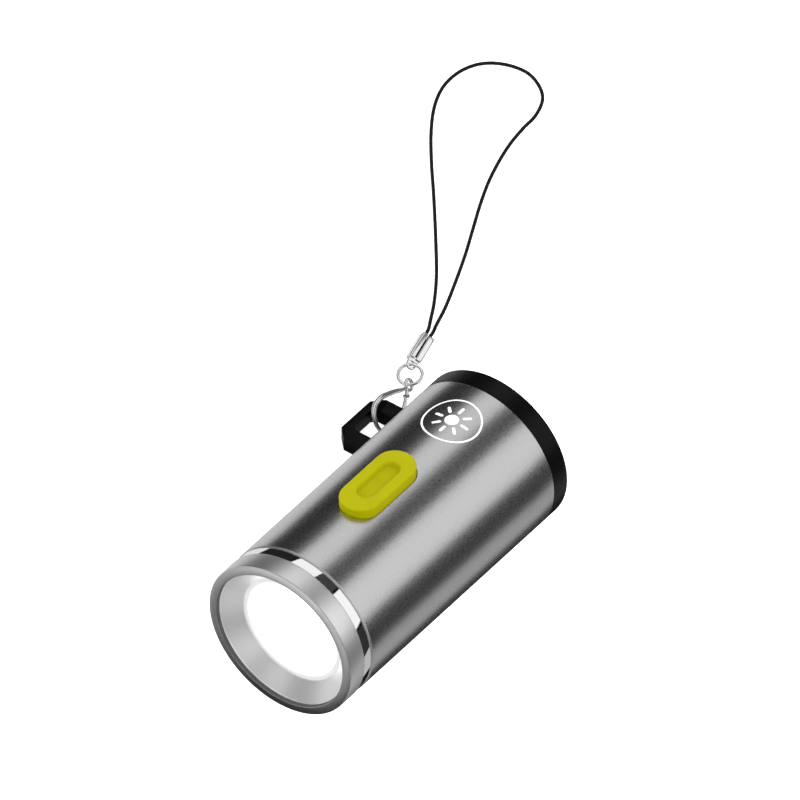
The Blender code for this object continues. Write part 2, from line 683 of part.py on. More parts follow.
def make_lug(root):
    ring_outer = BORE_RADIUS - LUG_GAP
    ring = [
        (LUG_RING_START, LUG_RING_BORE), (LUG_RING_START, ring_outer), (LUG_RING_END, ring_outer),
        (LUG_RING_END, LUG_RING_BORE),
    ]
    lug = turned("lanyard_lug", ring, BLACK, root)
    step = LUG_RING_END - LUG_GAP
    clear = BORE_RADIUS + 2 * LUG_GAP
    outline = [
        (LUG_START, LUG_FOOT), (step, LUG_FOOT), (step, clear), (LUG_END, clear),
        (LUG_END, LUG_REACH - LUG_CHAMFER), (LUG_END - LUG_CHAMFER, LUG_REACH),
        (LUG_START + LUG_CHAMFER, LUG_REACH), (LUG_START, LUG_REACH - LUG_CHAMFER),
    ]
    hole = [
        (HOLE_START, HOLE_INNER), (HOLE_END, HOLE_INNER), (HOLE_END, HOLE_OUTER - HOLE_CHAMFER),
        (HOLE_END - HOLE_CHAMFER, HOLE_OUTER), (HOLE_START + HOLE_CHAMFER, HOLE_OUTER),
        (HOLE_START, HOLE_OUTER - HOLE_CHAMFER),
    ]
    half = LUG_THICKNESS / 2
    tongue = plate("lug_plate", [outline, hole], -half, half, None, root, cutters)
    boolean(lug, tongue, "UNION")


# ---- tail ----

def make_tail(root):
    steps = 4
    corner = [
        (LENGTH - CAP_ROUND + CAP_ROUND * sin(a), TUBE_RADIUS - CAP_ROUND + CAP_ROUND * cos(a))
        for a in (pi / 2 * i / steps for i in range(steps + 1))
    ]
    cap_start = TUBE_END + SEAM
    outline = [
        (CAP_FLOOR, 0), (CAP_FLOOR, CAP_NECK_BORE), (NECK_START, CAP_NECK_BORE), (NECK_START, CAP_NECK_RADIUS),
        (cap_start, CAP_NECK_RADIUS), (cap_start, TUBE_RADIUS), *corner, (LENGTH, 0),
    ]
    turned("tail_cap", outline, BLACK, root)
    disc("tail_contact", CONTACT_START, CAP_FLOOR - SEAM, CONTACT_PLATE_RADIUS, BRASS, root)
    make_spring(root)


def make_spring(root):
    """A conical coil with a flat part of a turn at each end."""
    steps = int(SPRING_TURNS * SPRING_STEPS_PER_TURN)
    low = BATTERY_END + 2 * SEAM + SPRING_WIRE
    high = CONTACT_START - 2 * SEAM - SPRING_WIRE
    coil = []
    for step in range(steps + 1):
        share = step / steps
        climb = (share * SPRING_TURNS - SPRING_FLAT_TURNS) / (SPRING_TURNS - 2 * SPRING_FLAT_TURNS)
        rise = min(max(climb, 0), 1)
        angle = 2 * pi * SPRING_TURNS * share
        radius = SPRING_SMALL_RADIUS + (SPRING_LARGE_RADIUS - SPRING_SMALL_RADIUS) * share
        coil.append((low + (high - low) * rise, radius * cos(angle), radius * sin(angle)))
    wire("tail_spring", coil, SPRING_WIRE, STEEL, root)


# ---- lanyard ----

def on_table(place):
    """A row-frame point from (x from the front face, y, height above the table)."""
    x, y, height = place
    return Vector((x - LENGTH, y, TABLE + height))


def clasp_frame(root):
    """The clasp hangs round the lug's rear bar: x runs to its eye, y across it, its origin inside the bar."""
    middle = Vector(((HOLE_END + LUG_END) / 2, CLASP_BAR_REACH, 0))
    eye = root.matrix_world.inverted() @ on_table(CLASP_EYE)
    along = (eye - middle).normalized()
    lean = Vector((0, CLASP_LEAN, 1))
    normal = along.cross(lean).normalized()
    across = normal.cross(along)
    frame = add_empty("clasp_frame", root)
    frame.matrix_local = Matrix.Translation(middle) @ Matrix((along, across, normal)).transposed().to_4x4()
    return frame, (eye - middle).length


def flat_path(points, x=0.0):
    """Points given in millimetres on a plane, moved along by x."""
    return [(x + px * MM, py * MM, 0) for px, py in points]


def ring_points(middle, radius, count):
    return [
        (middle + radius * cos(a), radius * sin(a), 0) for a in (2 * pi * i / count for i in range(count))
    ]


def clasp_thickness(share):
    """The hook is thickest at its bow and thinnest at both ends."""
    return 0.72 + 0.4 * sin(pi * min(share * 1.25, 1))


def make_clasp(root):
    frame, reach = clasp_frame(root)
    neck = reach - EYE_RADIUS
    hook = smooth_route(flat_path(HOOK_NECK_DROP, neck) + flat_path(HOOK_BOW), 30)
    body = wire("clasp_body", hook, CLASP_WIRE, POLISHED, frame, thickness=clasp_thickness)
    rim = ring_points(reach, EYE_RADIUS, 16)
    boolean(body, wire("clasp_eye", rim, EYE_WIRE, None, frame, closed=True, collection=cutters), "UNION")
    pivot_x, pivot_y = PIVOT_FROM_NECK
    arm = smooth_route(flat_path([(0, 0), (-0.3, -0.5), (pivot_x + 0.35, pivot_y + 0.25)], neck), 5)
    boolean(body, wire("clasp_knuckle", arm, KNUCKLE_WIRE, None, frame, collection=cutters), "UNION")
    hinge = add_empty("gate_hinge", frame)
    hinge.location = (neck + pivot_x * MM, pivot_y * MM, 0)
    gate = wire("clasp_gate", smooth_route(flat_path(GATE_ROUTE), 12), GATE_WIRE, POLISHED, hinge)
    tab = wire("gate_tab", flat_path(GATE_TAB_ROUTE), GATE_TAB_WIRE, None, hinge, collection=cutters)
    boolean(gate, tab, "UNION")


def make_jump_ring():
    eye, hole = on_table(CLASP_EYE), on_table(CRIMP_HOLE)
    along = (hole - eye).normalized()
    side = Vector((0, 0, 1)).cross(along).normalized()
    up = along.cross(side)
    lean = cos(RING_TILT) * side - sin(RING_TILT) * up
    radius = (hole - eye).length / 2
    middle = (eye + hole) / 2
    points = [
        middle + radius * (cos(a) * along + sin(a) * lean) for a in (2 * pi * i / 28 for i in range(28))
    ]
    wire("jump_ring", points, RING_WIRE, POLISHED, closed=True)


def make_crimp():
    """A folded metal end clamp: a flat tab with a hole for the ring, and a box that grips both cord ends."""
    hole = on_table(CRIMP_HOLE)
    frame = add_empty("crimp_frame")
    frame.matrix_local = Matrix.Translation(hole) @ Matrix.Rotation(CRIMP_YAW, 4, "Z")
    low = TABLE + CRIMP_LIFT - hole.z
    half = CRIMP_WIDTH / 2
    body = box_mesh("cord_crimp", (CRIMP_TAB, -half, low), (CRIMP_TAB + CRIMP_LENGTH, half, low + CRIMP_HEIGHT))
    crimp = add_mesh("cord_crimp", body, STEEL, frame)
    bevel(crimp, CRIMP_EDGE)
    rim = ring_points(0, EYE_RADIUS, 16)
    eye = wire("crimp_eye", rim, CRIMP_EYE_WIRE, None, frame, closed=True, collection=cutters)
    boolean(crimp, eye, "UNION")
    tab_low = (CRIMP_NECK_START, -CRIMP_NECK_HALF_WIDTH, -CRIMP_NECK_HALF_HEIGHT)
    tab_high = (CRIMP_TAB + CRIMP_EDGE, CRIMP_NECK_HALF_WIDTH, CRIMP_NECK_HALF_HEIGHT)
    neck = add_mesh("crimp_neck", box_mesh("crimp_neck", tab_low, tab_high), None, frame, cutters)
    boolean(crimp, neck, "UNION")
    return frame


def make_cord(crimp_frame):
    """A loop that leaves the crimp, lies on the table and comes back beside where it left."""
    bpy.context.view_layer.update()
    place = crimp_frame.matrix_world
    back = CRIMP_TAB + CRIMP_LENGTH + CORD_EXIT_GAP
    level = TABLE + CORD_EXIT_HEIGHT - place.translation.z
    ends = []
    for side in (1, -1):
        run = [(back, side * 0.42 * MM, level), (back + 1.4 * MM, side * 0.5 * MM, level - 0.12 * MM)]
        ends.append([place @ Vector(point) for point in run])
    route = [on_table((x * MM, y * MM, CORD_REST)) for x, y in CORD_ROUTE]
    path = smooth_route([*ends[0], *route, *reversed(ends[1])], CORD_POINTS)
    cord = bpy.data.objects.new("lanyard_cord", wire_curve("lanyard_cord", path, CORD_RADIUS))
    cord.data.materials.append(CORD)
    place_in(parts, cord)


# ---- assembly ----

root = add_empty("flashlight_frame")
root.location = (-LENGTH, 0, 0)
root.rotation_euler = (-ROLL, 0, 0)
button_frame = add_empty("button_frame", root)
button_frame.location = (BUTTON_CENTRE, 0, 0)
bpy.context.view_layer.update()

make_bezel(root)
make_trim_ring(root)
make_lens(root)
make_reflector(root)
make_led(root)
make_driver(root)
make_tube(root)
make_battery(root)
make_switch(root, button_frame)
make_button(root, button_frame)
make_lug(root)
make_tail(root)
make_clasp(root)
make_jump_ring()
make_cord(make_crimp())

for item in parts.objects:
    if item.type == "MESH" and not item.modifiers.get("turn"):
        smooth(item)
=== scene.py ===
"""Looks for the keychain flashlight: meshes, materials, studio light and camera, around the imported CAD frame.

Sizes are in metres. The flashlight's own frame has x running back from its front face, y along its lug and
z out of its button; LOCAL turns it into the row frame, where the flashlight lies on the table.
"""

import json
from math import atan2, cos, hypot, pi, radians, sin

import bmesh
import bpy
from mathutils import Matrix, Vector


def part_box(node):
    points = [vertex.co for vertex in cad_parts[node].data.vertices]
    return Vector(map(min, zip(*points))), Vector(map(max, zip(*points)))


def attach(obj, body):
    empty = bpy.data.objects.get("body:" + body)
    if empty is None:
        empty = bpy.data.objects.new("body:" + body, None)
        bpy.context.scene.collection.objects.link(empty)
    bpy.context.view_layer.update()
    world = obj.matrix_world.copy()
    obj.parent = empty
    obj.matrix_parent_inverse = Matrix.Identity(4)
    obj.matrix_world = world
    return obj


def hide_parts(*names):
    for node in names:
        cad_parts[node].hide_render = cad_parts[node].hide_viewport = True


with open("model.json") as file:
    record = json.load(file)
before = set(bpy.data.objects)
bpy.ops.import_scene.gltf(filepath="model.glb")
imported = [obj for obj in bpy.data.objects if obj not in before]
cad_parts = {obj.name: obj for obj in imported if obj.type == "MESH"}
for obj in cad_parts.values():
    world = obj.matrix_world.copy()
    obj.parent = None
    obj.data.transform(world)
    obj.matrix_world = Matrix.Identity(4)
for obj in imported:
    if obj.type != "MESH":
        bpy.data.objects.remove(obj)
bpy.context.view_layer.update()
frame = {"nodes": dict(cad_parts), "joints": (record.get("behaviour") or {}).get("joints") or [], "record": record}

MM = 0.001
JOINTS = {joint["name"]: joint for joint in frame["joints"]}
LUG_WAY = -Vector(JOINTS["clasp_swing"]["axis"])
BUTTON_WAY = -Vector(JOINTS["button_press"]["axis"])
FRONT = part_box("bezel")[0].x
TABLE = min(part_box("body_tube")[0].z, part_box("lanyard_lug")[0].z)
LOCAL = Matrix.Translation((FRONT, 0, 0)) @ Matrix(((1, 0, 0), LUG_WAY, BUTTON_WAY)).transposed().to_4x4()


def from_front(node, end):
    """How far behind the front face a node starts (0) or ends (1)."""
    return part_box(node)[end].x - FRONT


# ---- camera: the view seen along the tube from in front, above and to the button's side ----

VIEW_WIDTH = 134.66 * MM
LENS = 1650.0
SENSOR = 36.0
CAMERA_RIGHT = Vector((0.6037, -0.7973, 0.0))
CAMERA_UP = Vector((0.5457, 0.4132, 0.7290))
CAMERA_BACK = Vector((-0.5812, -0.4401, 0.6845))
AIM_RIGHT = 20.27 * MM
AIM_UP = 40.62 * MM


def make_camera():
    turn = LOCAL.to_3x3()
    right, up, back = (turn @ way for way in (CAMERA_RIGHT, CAMERA_UP, CAMERA_BACK))
    data = bpy.data.cameras.new("camera")
    data.lens = LENS
    data.sensor_width = SENSOR
    distance = LENS / SENSOR * VIEW_WIDTH
    data.clip_start = 0.01
    data.clip_end = 20
    camera = bpy.data.objects.new("camera", data)
    bpy.context.scene.collection.objects.link(camera)
    place = LOCAL.translation + AIM_RIGHT * right + AIM_UP * up + distance * back
    camera.matrix_world = Matrix.Translation(place) @ Matrix((right, up, back)).transposed().to_4x4()
    bpy.context.scene.camera = camera


# ---- materials ----

def new_material(name, colour, roughness, metallic=0.0, **sockets):
    made = bpy.data.materials.new(name)
    made.use_nodes = True
    shader = made.node_tree.nodes["Principled BSDF"]
    shader.inputs["Base Color"].default_value = (*colour, 1)
    shader.inputs["Roughness"].default_value = roughness
    shader.inputs["Metallic"].default_value = metallic
    for socket, value in sockets.items():
        shader.inputs[socket.replace("_", " ")].default_value = value
    return made


def add_node(material, kind, **values):
    node = material.node_tree.nodes.new(kind)
    for key, value in values.items():
        if key in node.inputs:
            node.inputs[key].default_value = value
        else:
            setattr(node, key, value)
    return node


def noise(material, scale, detail=2.0, stretch=(1, 1, 1), roughness=0.5):
    """A noise texture in the piece's own metres."""
    links = material.node_tree.links
    where = add_node(material, "ShaderNodeTexCoord")
    mapping = add_node(material, "ShaderNodeMapping")
    mapping.inputs["Scale"].default_value = stretch
    texture = add_node(material, "ShaderNodeTexNoise")
    texture.inputs["Scale"].default_value = scale
    texture.inputs["Detail"].default_value = detail
    texture.inputs["Roughness"].default_value = roughness
    links.new(where.outputs["Object"], mapping.inputs["Vector"])
    links.new(mapping.outputs["Vector"], texture.inputs["Vector"])
    return texture


def vary(material, texture, socket, low, high):
    """A socket runs from low to high with the texture."""
    links = material.node_tree.links
    shader = material.node_tree.nodes["Principled BSDF"]
    if socket == "Base Color":
        ramp = add_node(material, "ShaderNodeValToRGB")
        ramp.color_ramp.elements[0].color = (*low, 1)
        ramp.color_ramp.elements[1].color = (*high, 1)
        ramp.color_ramp.elements[0].position = 0.3
        ramp.color_ramp.elements[1].position = 0.7
        links.new(texture.outputs["Fac"], ramp.inputs["Fac"])
        links.new(ramp.outputs["Color"], shader.inputs[socket])
        return
    spread = add_node(material, "ShaderNodeMapRange")
    spread.inputs["From Min"].default_value = 0.3
    spread.inputs["From Max"].default_value = 0.7
    spread.inputs["To Min"].default_value = low
    spread.inputs["To Max"].default_value = high
    links.new(texture.outputs["Fac"], spread.inputs["Value"])
    links.new(spread.outputs["Result"], shader.inputs[socket])


def bump(material, texture, depth):
    links = material.node_tree.links
    shader = material.node_tree.nodes["Principled BSDF"]
    node = add_node(material, "ShaderNodeBump")
    node.inputs["Distance"].default_value = depth
    node.inputs["Strength"].default_value = 1.0
    if shader.inputs["Normal"].is_linked:
        links.new(shader.inputs["Normal"].links[0].from_socket, node.inputs["Normal"])
    links.new(texture.outputs["Fac"], node.inputs["Height"])
    links.new(node.outputs["Normal"], shader.inputs["Normal"])


BLAST_SCALE = 1500
MOTTLE_SCALE = 1800
TURNED_SCALE = 3000
TURNED_DEPTH = 0.0004 * MM
MOULD_SCALE = 4200
SCRATCH_DEPTH = 0.0008 * MM


def satin_aluminium(name, tone, roughness, grain=0.006 * MM, metallic=1.0):
    """Bead-blasted metal: a fine bump, and a slight mottle in its shine."""
    made = new_material(name, (tone, tone, tone * 1.01), roughness, metallic)
    bump(made, noise(made, BLAST_SCALE, 0.0), grain)
    vary(made, noise(made, MOTTLE_SCALE, 3.0), "Roughness", roughness - 0.015, roughness + 0.015)
    return made


def turned_aluminium(name, tone, roughness):
    """A lathe-turned face: fine rings about the tube's axis, which stretch highlights across them."""
    made = new_material(name, (tone, tone, tone), roughness, 1.0, Anisotropic=0.6)
    tangent = add_node(made, "ShaderNodeTangent", direction_type="RADIAL", axis="X")
    shader = made.node_tree.nodes["Principled BSDF"]
    made.node_tree.links.new(tangent.outputs["Tangent"], shader.inputs["Tangent"])
    bump(made, noise(made, TURNED_SCALE, 1.0), TURNED_DEPTH)
    vary(made, noise(made, 700, 2.0), "Roughness", roughness - 0.02, roughness + 0.02)
    return made


def plastic(name, colour, roughness, grain, colour_shift=0.08, **sockets):
    """Moulded plastic, with a faint grain and slightly uneven colour."""
    made = new_material(name, colour, roughness, **sockets)
    bump(made, noise(made, MOULD_SCALE, 3.0), grain)
    low = tuple(channel * (1 - colour_shift) for channel in colour)
    high = tuple(channel * (1 + colour_shift) for channel in colour)
    vary(made, noise(made, 300, 3.0), "Base Color", low, high)
    vary(made, noise(made, 1200, 2.0), "Roughness", roughness - 0.05, roughness + 0.05)
    return made


def polished(name, tone, roughness, metallic=1.0):
    """Plated metal with fine handling scratches."""
    made = new_material(name, (tone, tone, tone * 1.01), roughness, metallic)
    scratches = noise(made, 1500, 4.0, (0.15, 1, 1))
    vary(made, scratches, "Roughness", roughness * 0.6, roughness * 1.8)
    bump(made, scratches, SCRATCH_DEPTH)
    return made


GLOW = 2.6
GLOW_CORE = 8.2 * MM
GLOW_EDGE = 9.7 * MM
GLOW_RIM = 0.2


def lit_lens():
    """A lens that glows evenly, and less towards its edge."""
    made = new_material("lit_lens", (0.45, 0.45, 0.45), 0.15, Emission_Color=(1, 1, 1, 1))
    links = made.node_tree.links
    where = add_node(made, "ShaderNodeTexCoord")
    mapping = add_node(made, "ShaderNodeMapping")
    mapping.inputs["Scale"].default_value = (0, 1, 1)
    distance = add_node(made, "ShaderNodeVectorMath", operation="LENGTH")
    fade = add_node(made, "ShaderNodeMapRange", interpolation_type="SMOOTHSTEP")
    fade.inputs["From Min"].default_value = GLOW_CORE
    fade.inputs["From Max"].default_value = GLOW_EDGE
    fade.inputs["To Min"].default_value = GLOW
    fade.inputs["To Max"].default_value = GLOW_RIM
    links.new(where.outputs["Object"], mapping.inputs["Vector"])
    links.new(mapping.outputs["Vector"], distance.inputs[0])
    links.new(distance.outputs["Value"], fade.inputs["Value"])
    links.new(fade.outputs["Result"], made.node_tree.nodes["Principled BSDF"].inputs["Emission Strength"])
    vary(made, noise(made, 500, 1.0), "Roughness", 0.1, 0.2)
    return made


def circuit(name, colour):
    """Solder mask over copper tracks: a fine square pattern raises and lightens the tracks."""
    made = new_material(name, colour, 0.35)
    where = add_node(made, "ShaderNodeTexCoord")
    bricks = add_node(made, "ShaderNodeTexBrick")
    bricks.inputs["Scale"].default_value = 450
    bricks.inputs["Color1"].default_value = (*colour, 1)
    bricks.inputs["Color2"].default_value = (*(channel * 1.5 for channel in colour), 1)
    bricks.inputs["Mortar"].default_value = (*(channel * 0.6 for channel in colour), 1)
    links = made.node_tree.links
    links.new(where.outputs["Object"], bricks.inputs["Vector"])
    links.new(bricks.outputs["Color"], made.node_tree.nodes["Principled BSDF"].inputs["Base Color"])
    bump(made, bricks, 0.01 * MM)
    return made


SATIN = satin_aluminium("satin_aluminium", 0.60, 0.28, 0.005 * MM)
BEZEL_SATIN = satin_aluminium("satin_bezel", 0.92, 0.44)
# Painted highlight: a lighter copy of the tube's satin for its lead chamfer; it is also rougher, which is a
# surface finish.
EDGE_HIGHLIGHT_SATIN = satin_aluminium("satin_edge_painted_highlight", 0.74, 0.5)
RIM = turned_aluminium("turned_aluminium", 0.62, 0.36)
CONE = satin_aluminium("satin_cone", 0.78, 0.42, 0.009 * MM, 0.8)
# Painted shade: near-black plastic on the short wall inside the front rim stands in for the shade that falls
# there.
RIM_WALL_SHADE = plastic("painted_shade_rim_wall", (0.05, 0.05, 0.05), 0.55, 0.003 * MM, Specular_IOR_Level=0.2)
MIRROR = polished("polished_trim", 0.92, 0.05)
HARDWARE = polished("polished_hardware", 0.83, 0.13, 0.86)
STEEL = polished("spring_steel", 0.6, 0.22)
BRASS = new_material("brass", (0.78, 0.56, 0.22), 0.28, 1.0)
vary(BRASS, noise(BRASS, 900, 3.0), "Roughness", 0.2, 0.4)
LENS_GLOW = lit_lens()
BLACK = plastic("black_plastic", (0.0015, 0.0015, 0.0016), 0.36, 0.003 * MM, Specular_IOR_Level=0.13)
LIME = plastic("lime_plastic", (0.328, 0.318, 0.0), 0.45, 0.003 * MM, 0.03, Specular_IOR_Level=0.05)
RUBBER = plastic("silicone", (0.02, 0.02, 0.02), 0.7, 0.006 * MM)
WRAP = plastic("battery_wrap", (0.03, 0.09, 0.32), 0.35, 0.002 * MM)
GREEN = circuit("circuit_board", (0.02, 0.12, 0.05))
WHITE_BOARD = circuit("led_board", (0.7, 0.7, 0.68))
PHOSPHOR = plastic("led_phosphor", (0.9, 0.75, 0.12), 0.25, 0.001 * MM)
PAINT = plastic("white_print", (0.9, 0.9, 0.9), 0.5, 0.001 * MM, 0.02)
RED_WIRE = plastic("wire_red", (0.5, 0.02, 0.02), 0.45, 0.001 * MM)
BLACK_WIRE = plastic("wire_black", (0.02, 0.02, 0.02), 0.45, 0.001 * MM)


def cord_yarn():
    made = new_material("cord_yarn", (0.005, 0.005, 0.005), 0.8, Specular_IOR_Level=0.2)
    fibres = noise(made, 6000, 3.0, (1, 1, 1), 0.7)
    bump(made, fibres, 0.03 * MM)
    vary(made, fibres, "Base Color", (0.001, 0.001, 0.001), (0.014, 0.014, 0.014))
    return made


YARN = cord_yarn()

SLOT_MATERIALS = {
    "satin_aluminium": SATIN, "polished_trim": MIRROR, "clear_lens": LENS_GLOW, "reflector_metal": MIRROR,
    "silicone": RUBBER, "led_phosphor": PHOSPHOR, "board_aluminium": WHITE_BOARD, "circuit_board": GREEN,
    "brass_contact": BRASS, "black_plastic": BLACK, "lime_plastic": LIME, "battery_wrap": WRAP, "steel": STEEL,
    "polished_hardware": HARDWARE, "cord_fibre": YARN, "wire_red": RED_WIRE, "wire_black": BLACK_WIRE,
}


def dress_cad_nodes():
    for entry in frame["record"]["subparts"]:
        node = frame["nodes"][entry["node"]]
        node.data.materials.clear()
        node.data.materials.append(SLOT_MATERIALS[entry["material_slot"]])


# ---- mesh helpers ----

def finish_mesh(name, shape, smooth_angle=40):
    mesh = bpy.data.meshes.new(name)
    bmesh.ops.recalc_face_normals(shape, faces=shape.faces)
    shape.to_mesh(mesh)
    shape.free()
    mesh.shade_smooth()
    mesh.set_sharp_from_angle(angle=radians(smooth_angle))
    return mesh


def add_piece(name, mesh, materials, body, stands_for=(), place=None):
    """A piece whose mesh was made in the flashlight's own frame, or in the one that place gives."""
    made = bpy.data.objects.new(name, mesh)
    mesh.materials.clear()
    for material in materials:
        mesh.materials.append(material)
    bpy.context.scene.collection.objects.link(made)
    mesh.transform(LOCAL if place is None else place)
    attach(made, body)
    if stands_for:
        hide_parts(*stands_for)
    return made


def filleted(outline, radius, steps=4):
    """A closed outline of (x, radius) points with every corner rounded."""
    made = []
    for before, corner, after in zip(outline[-1:] + outline[:-1], outline, outline[1:] + outline[:1]):
        corner, before, after = Vector(corner), Vector(before), Vector(after)
        back, ahead = before - corner, after - corner
        reach = min(radius, back.length * 0.45, ahead.length * 0.45)
        first, last = corner + back.normalized() * reach, corner + ahead.normalized() * reach
        for step in range(steps + 1):
            t = step / steps
            made.append((1 - t) ** 2 * first + 2 * t * (1 - t) * corner + t * t * last)
    return [(point.x, point.y) for point in made]


def lathe(name, outline, sides=192, surface=None, smooth_angle=40):
    """Turns (x, radius) points about the x axis. A closed outline makes a ring; one that ends on the axis, a disc.
    surface, where given, returns the radius at (x, radius, angle)."""
    on_axis = outline[0][1] == 0 and outline[-1][1] == 0
    shape = bmesh.new()
    rows = []
    for x, radius in outline:
        if radius == 0:
            rows.append([shape.verts.new((x, 0, 0))] * sides)
            continue
        row = []
        for side in range(sides):
            angle = 2 * pi * side / sides
            there = surface(x, radius, angle) if surface else radius
            row.append(shape.verts.new((x, there * cos(angle), there * sin(angle))))
        rows.append(row)
    pairs = list(zip(rows, rows[1:]))
    if not on_axis:
        pairs.append((rows[-1], rows[0]))
    for first, second in pairs:
        for side in range(sides):
            after = (side + 1) % sides
            corners = list(dict.fromkeys((first[side], first[after], second[after], second[side])))
            shape.faces.new(corners)
    return finish_mesh(name, shape, smooth_angle)


def stadium(length, width, centre=0.0, arc_points=16):
    radius = width / 2
    reach = length / 2 - radius
    turns = [-pi / 2 + pi * i / arc_points for i in range(arc_points + 1)]
    right = [(centre + reach + radius * cos(a), radius * sin(a)) for a in turns]
    left = [(centre - reach - radius * cos(a), -radius * sin(a)) for a in turns]
    return right + left


def loft(name, loops, smooth_angle=40):
    """Skins closed loops that have the same number of points, and closes both ends."""
    shape = bmesh.new()
    rows = [[shape.verts.new(point) for point in loop] for loop in loops]
    for first, second in zip(rows, rows[1:]):
        for index in range(len(first)):
            after = (index + 1) % len(first)
            shape.faces.new((first[index], first[after], second[after], second[index]))
    shape.faces.new(rows[0][::-1])
    shape.faces.new(rows[-1])
    return finish_mesh(name, shape, smooth_angle)


def ring_points(radius, steps=48):
    """Points on a circle about the z axis."""
    turns = [2 * pi * step / steps for step in range(steps)]
    return [Vector((radius * cos(turn), radius * sin(turn), 0)) for turn in turns]


def extruded(name, outlines, low, high, edge=0.0):
    """A flat plate with holes, from z = low to high, its edges rounded."""
    curve = bpy.data.curves.new(name, "CURVE")
    curve.dimensions = "2D"
    curve.fill_mode = "BOTH"
    curve.extrude = (high - low) / 2 - edge
    curve.bevel_depth = edge
    curve.bevel_resolution = 3
    curve.offset = -edge
    for outline in outlines:
        spline = curve.splines.new("POLY")
        spline.points.add(len(outline) - 1)
        for point, (x, y) in zip(spline.points, outline):
            point.co = (x, y, 0, 1)
        spline.use_cyclic_u = True
    mesh = mesh_of_curve(name, curve)
    mesh.transform(Matrix.Translation((0, 0, (low + high) / 2)))
    mesh.set_sharp_from_angle(angle=radians(40))
    return mesh


def mesh_of_curve(name, curve):
    item = bpy.data.objects.new(name, curve)
    bpy.context.scene.collection.objects.link(item)
    bpy.context.view_layer.update()
    mesh = bpy.data.meshes.new_from_object(item.evaluated_get(bpy.context.evaluated_depsgraph_get()))
    bpy.data.objects.remove(item, do_unlink=True)
    shape = bmesh.new()
    shape.from_mesh(mesh)
    bmesh.ops.remove_doubles(shape, verts=shape.verts, dist=0.0005 * MM)
    shape.to_mesh(mesh)
    shape.free()
    mesh.name = name
    mesh.shade_smooth()
    return mesh


def cut(mesh, cutters):
    """The mesh less the cutter meshes."""
    item = bpy.data.objects.new("being_cut", mesh)
    scene = bpy.context.scene.collection
    scene.objects.link(item)
    tools = []
    for cutter in cutters:
        tool = bpy.data.objects.new("cutter", cutter)
        scene.objects.link(tool)
        tools.append(tool)
        modifier = item.modifiers.new("cut", "BOOLEAN")
        modifier.solver = "EXACT"
        modifier.object = tool
    bpy.context.view_layer.update()
    made = bpy.data.meshes.new_from_object(item.evaluated_get(bpy.context.evaluated_depsgraph_get()))
    for used in [item, *tools]:
        bpy.data.objects.remove(used, do_unlink=True)
    made.shade_smooth()
    made.set_sharp_from_angle(angle=radians(30))
    return made


def box_mesh(low, high):
    shape = bmesh.new()
    bmesh.ops.create_cube(shape, size=1)
    bmesh.ops.scale(shape, vec=Vector(high) - Vector(low), verts=shape.verts)
    bmesh.ops.translate(shape, vec=(Vector(high) + Vector(low)) / 2, verts=shape.verts)
    mesh = bpy.data.meshes.new("box")
    shape.to_mesh(mesh)
    shape.free()
    return mesh


def smooth_route(points, count):
    """Evenly spaced points on a Catmull-Rom curve through the given ones."""
    points = [Vector(point) for point in points]
    padded = [2 * points[0] - points[1], *points, 2 * points[-1] - points[-2]]
    fine = []
    for a, b, c, d in zip(padded, padded[1:], padded[2:], padded[3:]):
        for step in range(16):
            t = step / 16
            fine.append(
                0.5 * (2 * b + (c - a) * t + (2 * a - 5 * b + 4 * c - d) * t**2 + (3 * b - a - 3 * c + d) * t**3)
            )
    fine.append(points[-1])
    lengths = [0.0]
    for first, second in zip(fine, fine[1:]):
        lengths.append(lengths[-1] + (second - first).length)
    spaced = []
    index = 0
    for step in range(count):
        target = lengths[-1] * step / (count - 1)
        while index < len(lengths) - 2 and lengths[index + 1] < target:
            index += 1
        share = (target - lengths[index]) / (lengths[index + 1] - lengths[index])
        spaced.append(fine[index].lerp(fine[index + 1], share))
    return spaced


def tube(name, points, radius, sides=16, closed=False, twist=0.0, lobes=0, lobe_depth=0.0):
    """A round bar along points. radius is a length or a function of the share along it. lobes and twist make a
    rope's strands: twist is in turns per metre."""
    shape = bmesh.new()
    count = len(points)
    normal = None
    rows = []
    travelled = 0.0
    for index, point in enumerate(points):
        before = points[index - 1] if index or closed else point
        after = points[(index + 1) % count] if index < count - 1 or closed else point
        tangent = (after - before).normalized()
        if normal is None:
            normal = tangent.orthogonal().normalized()
        normal = (normal - normal.dot(tangent) * tangent).normalized()
        side = tangent.cross(normal)
        if index:
            travelled += (point - points[index - 1]).length
        thick = radius(index / (count - 1)) if callable(radius) else radius
        row = []
        for step in range(sides):
            angle = 2 * pi * step / sides
            swell = 1.0
            if lobes:
                swell = 1 - lobe_depth * (1 - abs(cos(lobes / 2 * (angle - 2 * pi * twist * travelled))))
            row.append(shape.verts.new(point + thick * swell * (cos(angle) * normal + sin(angle) * side)))
        rows.append(row)
    pairs = list(zip(rows, rows[1:]))
    if closed:
        first, last = rows[0], rows[-1]
        shift = min(range(sides), key=lambda s: (last[0].co - first[s].co).length)
        pairs.append((last, first[shift:] + first[:shift]))
    for one, two in pairs:
        for step in range(sides):
            after = (step + 1) % sides
            shape.faces.new((one[step], one[after], two[after], two[step]))
    if not closed:
        shape.faces.new(rows[0][::-1])
        shape.faces.new(rows[-1])
    return finish_mesh(name, shape, 60)


# ---- lanyard cord: its route repeats the CAD cord's, in millimetres from the front face ----

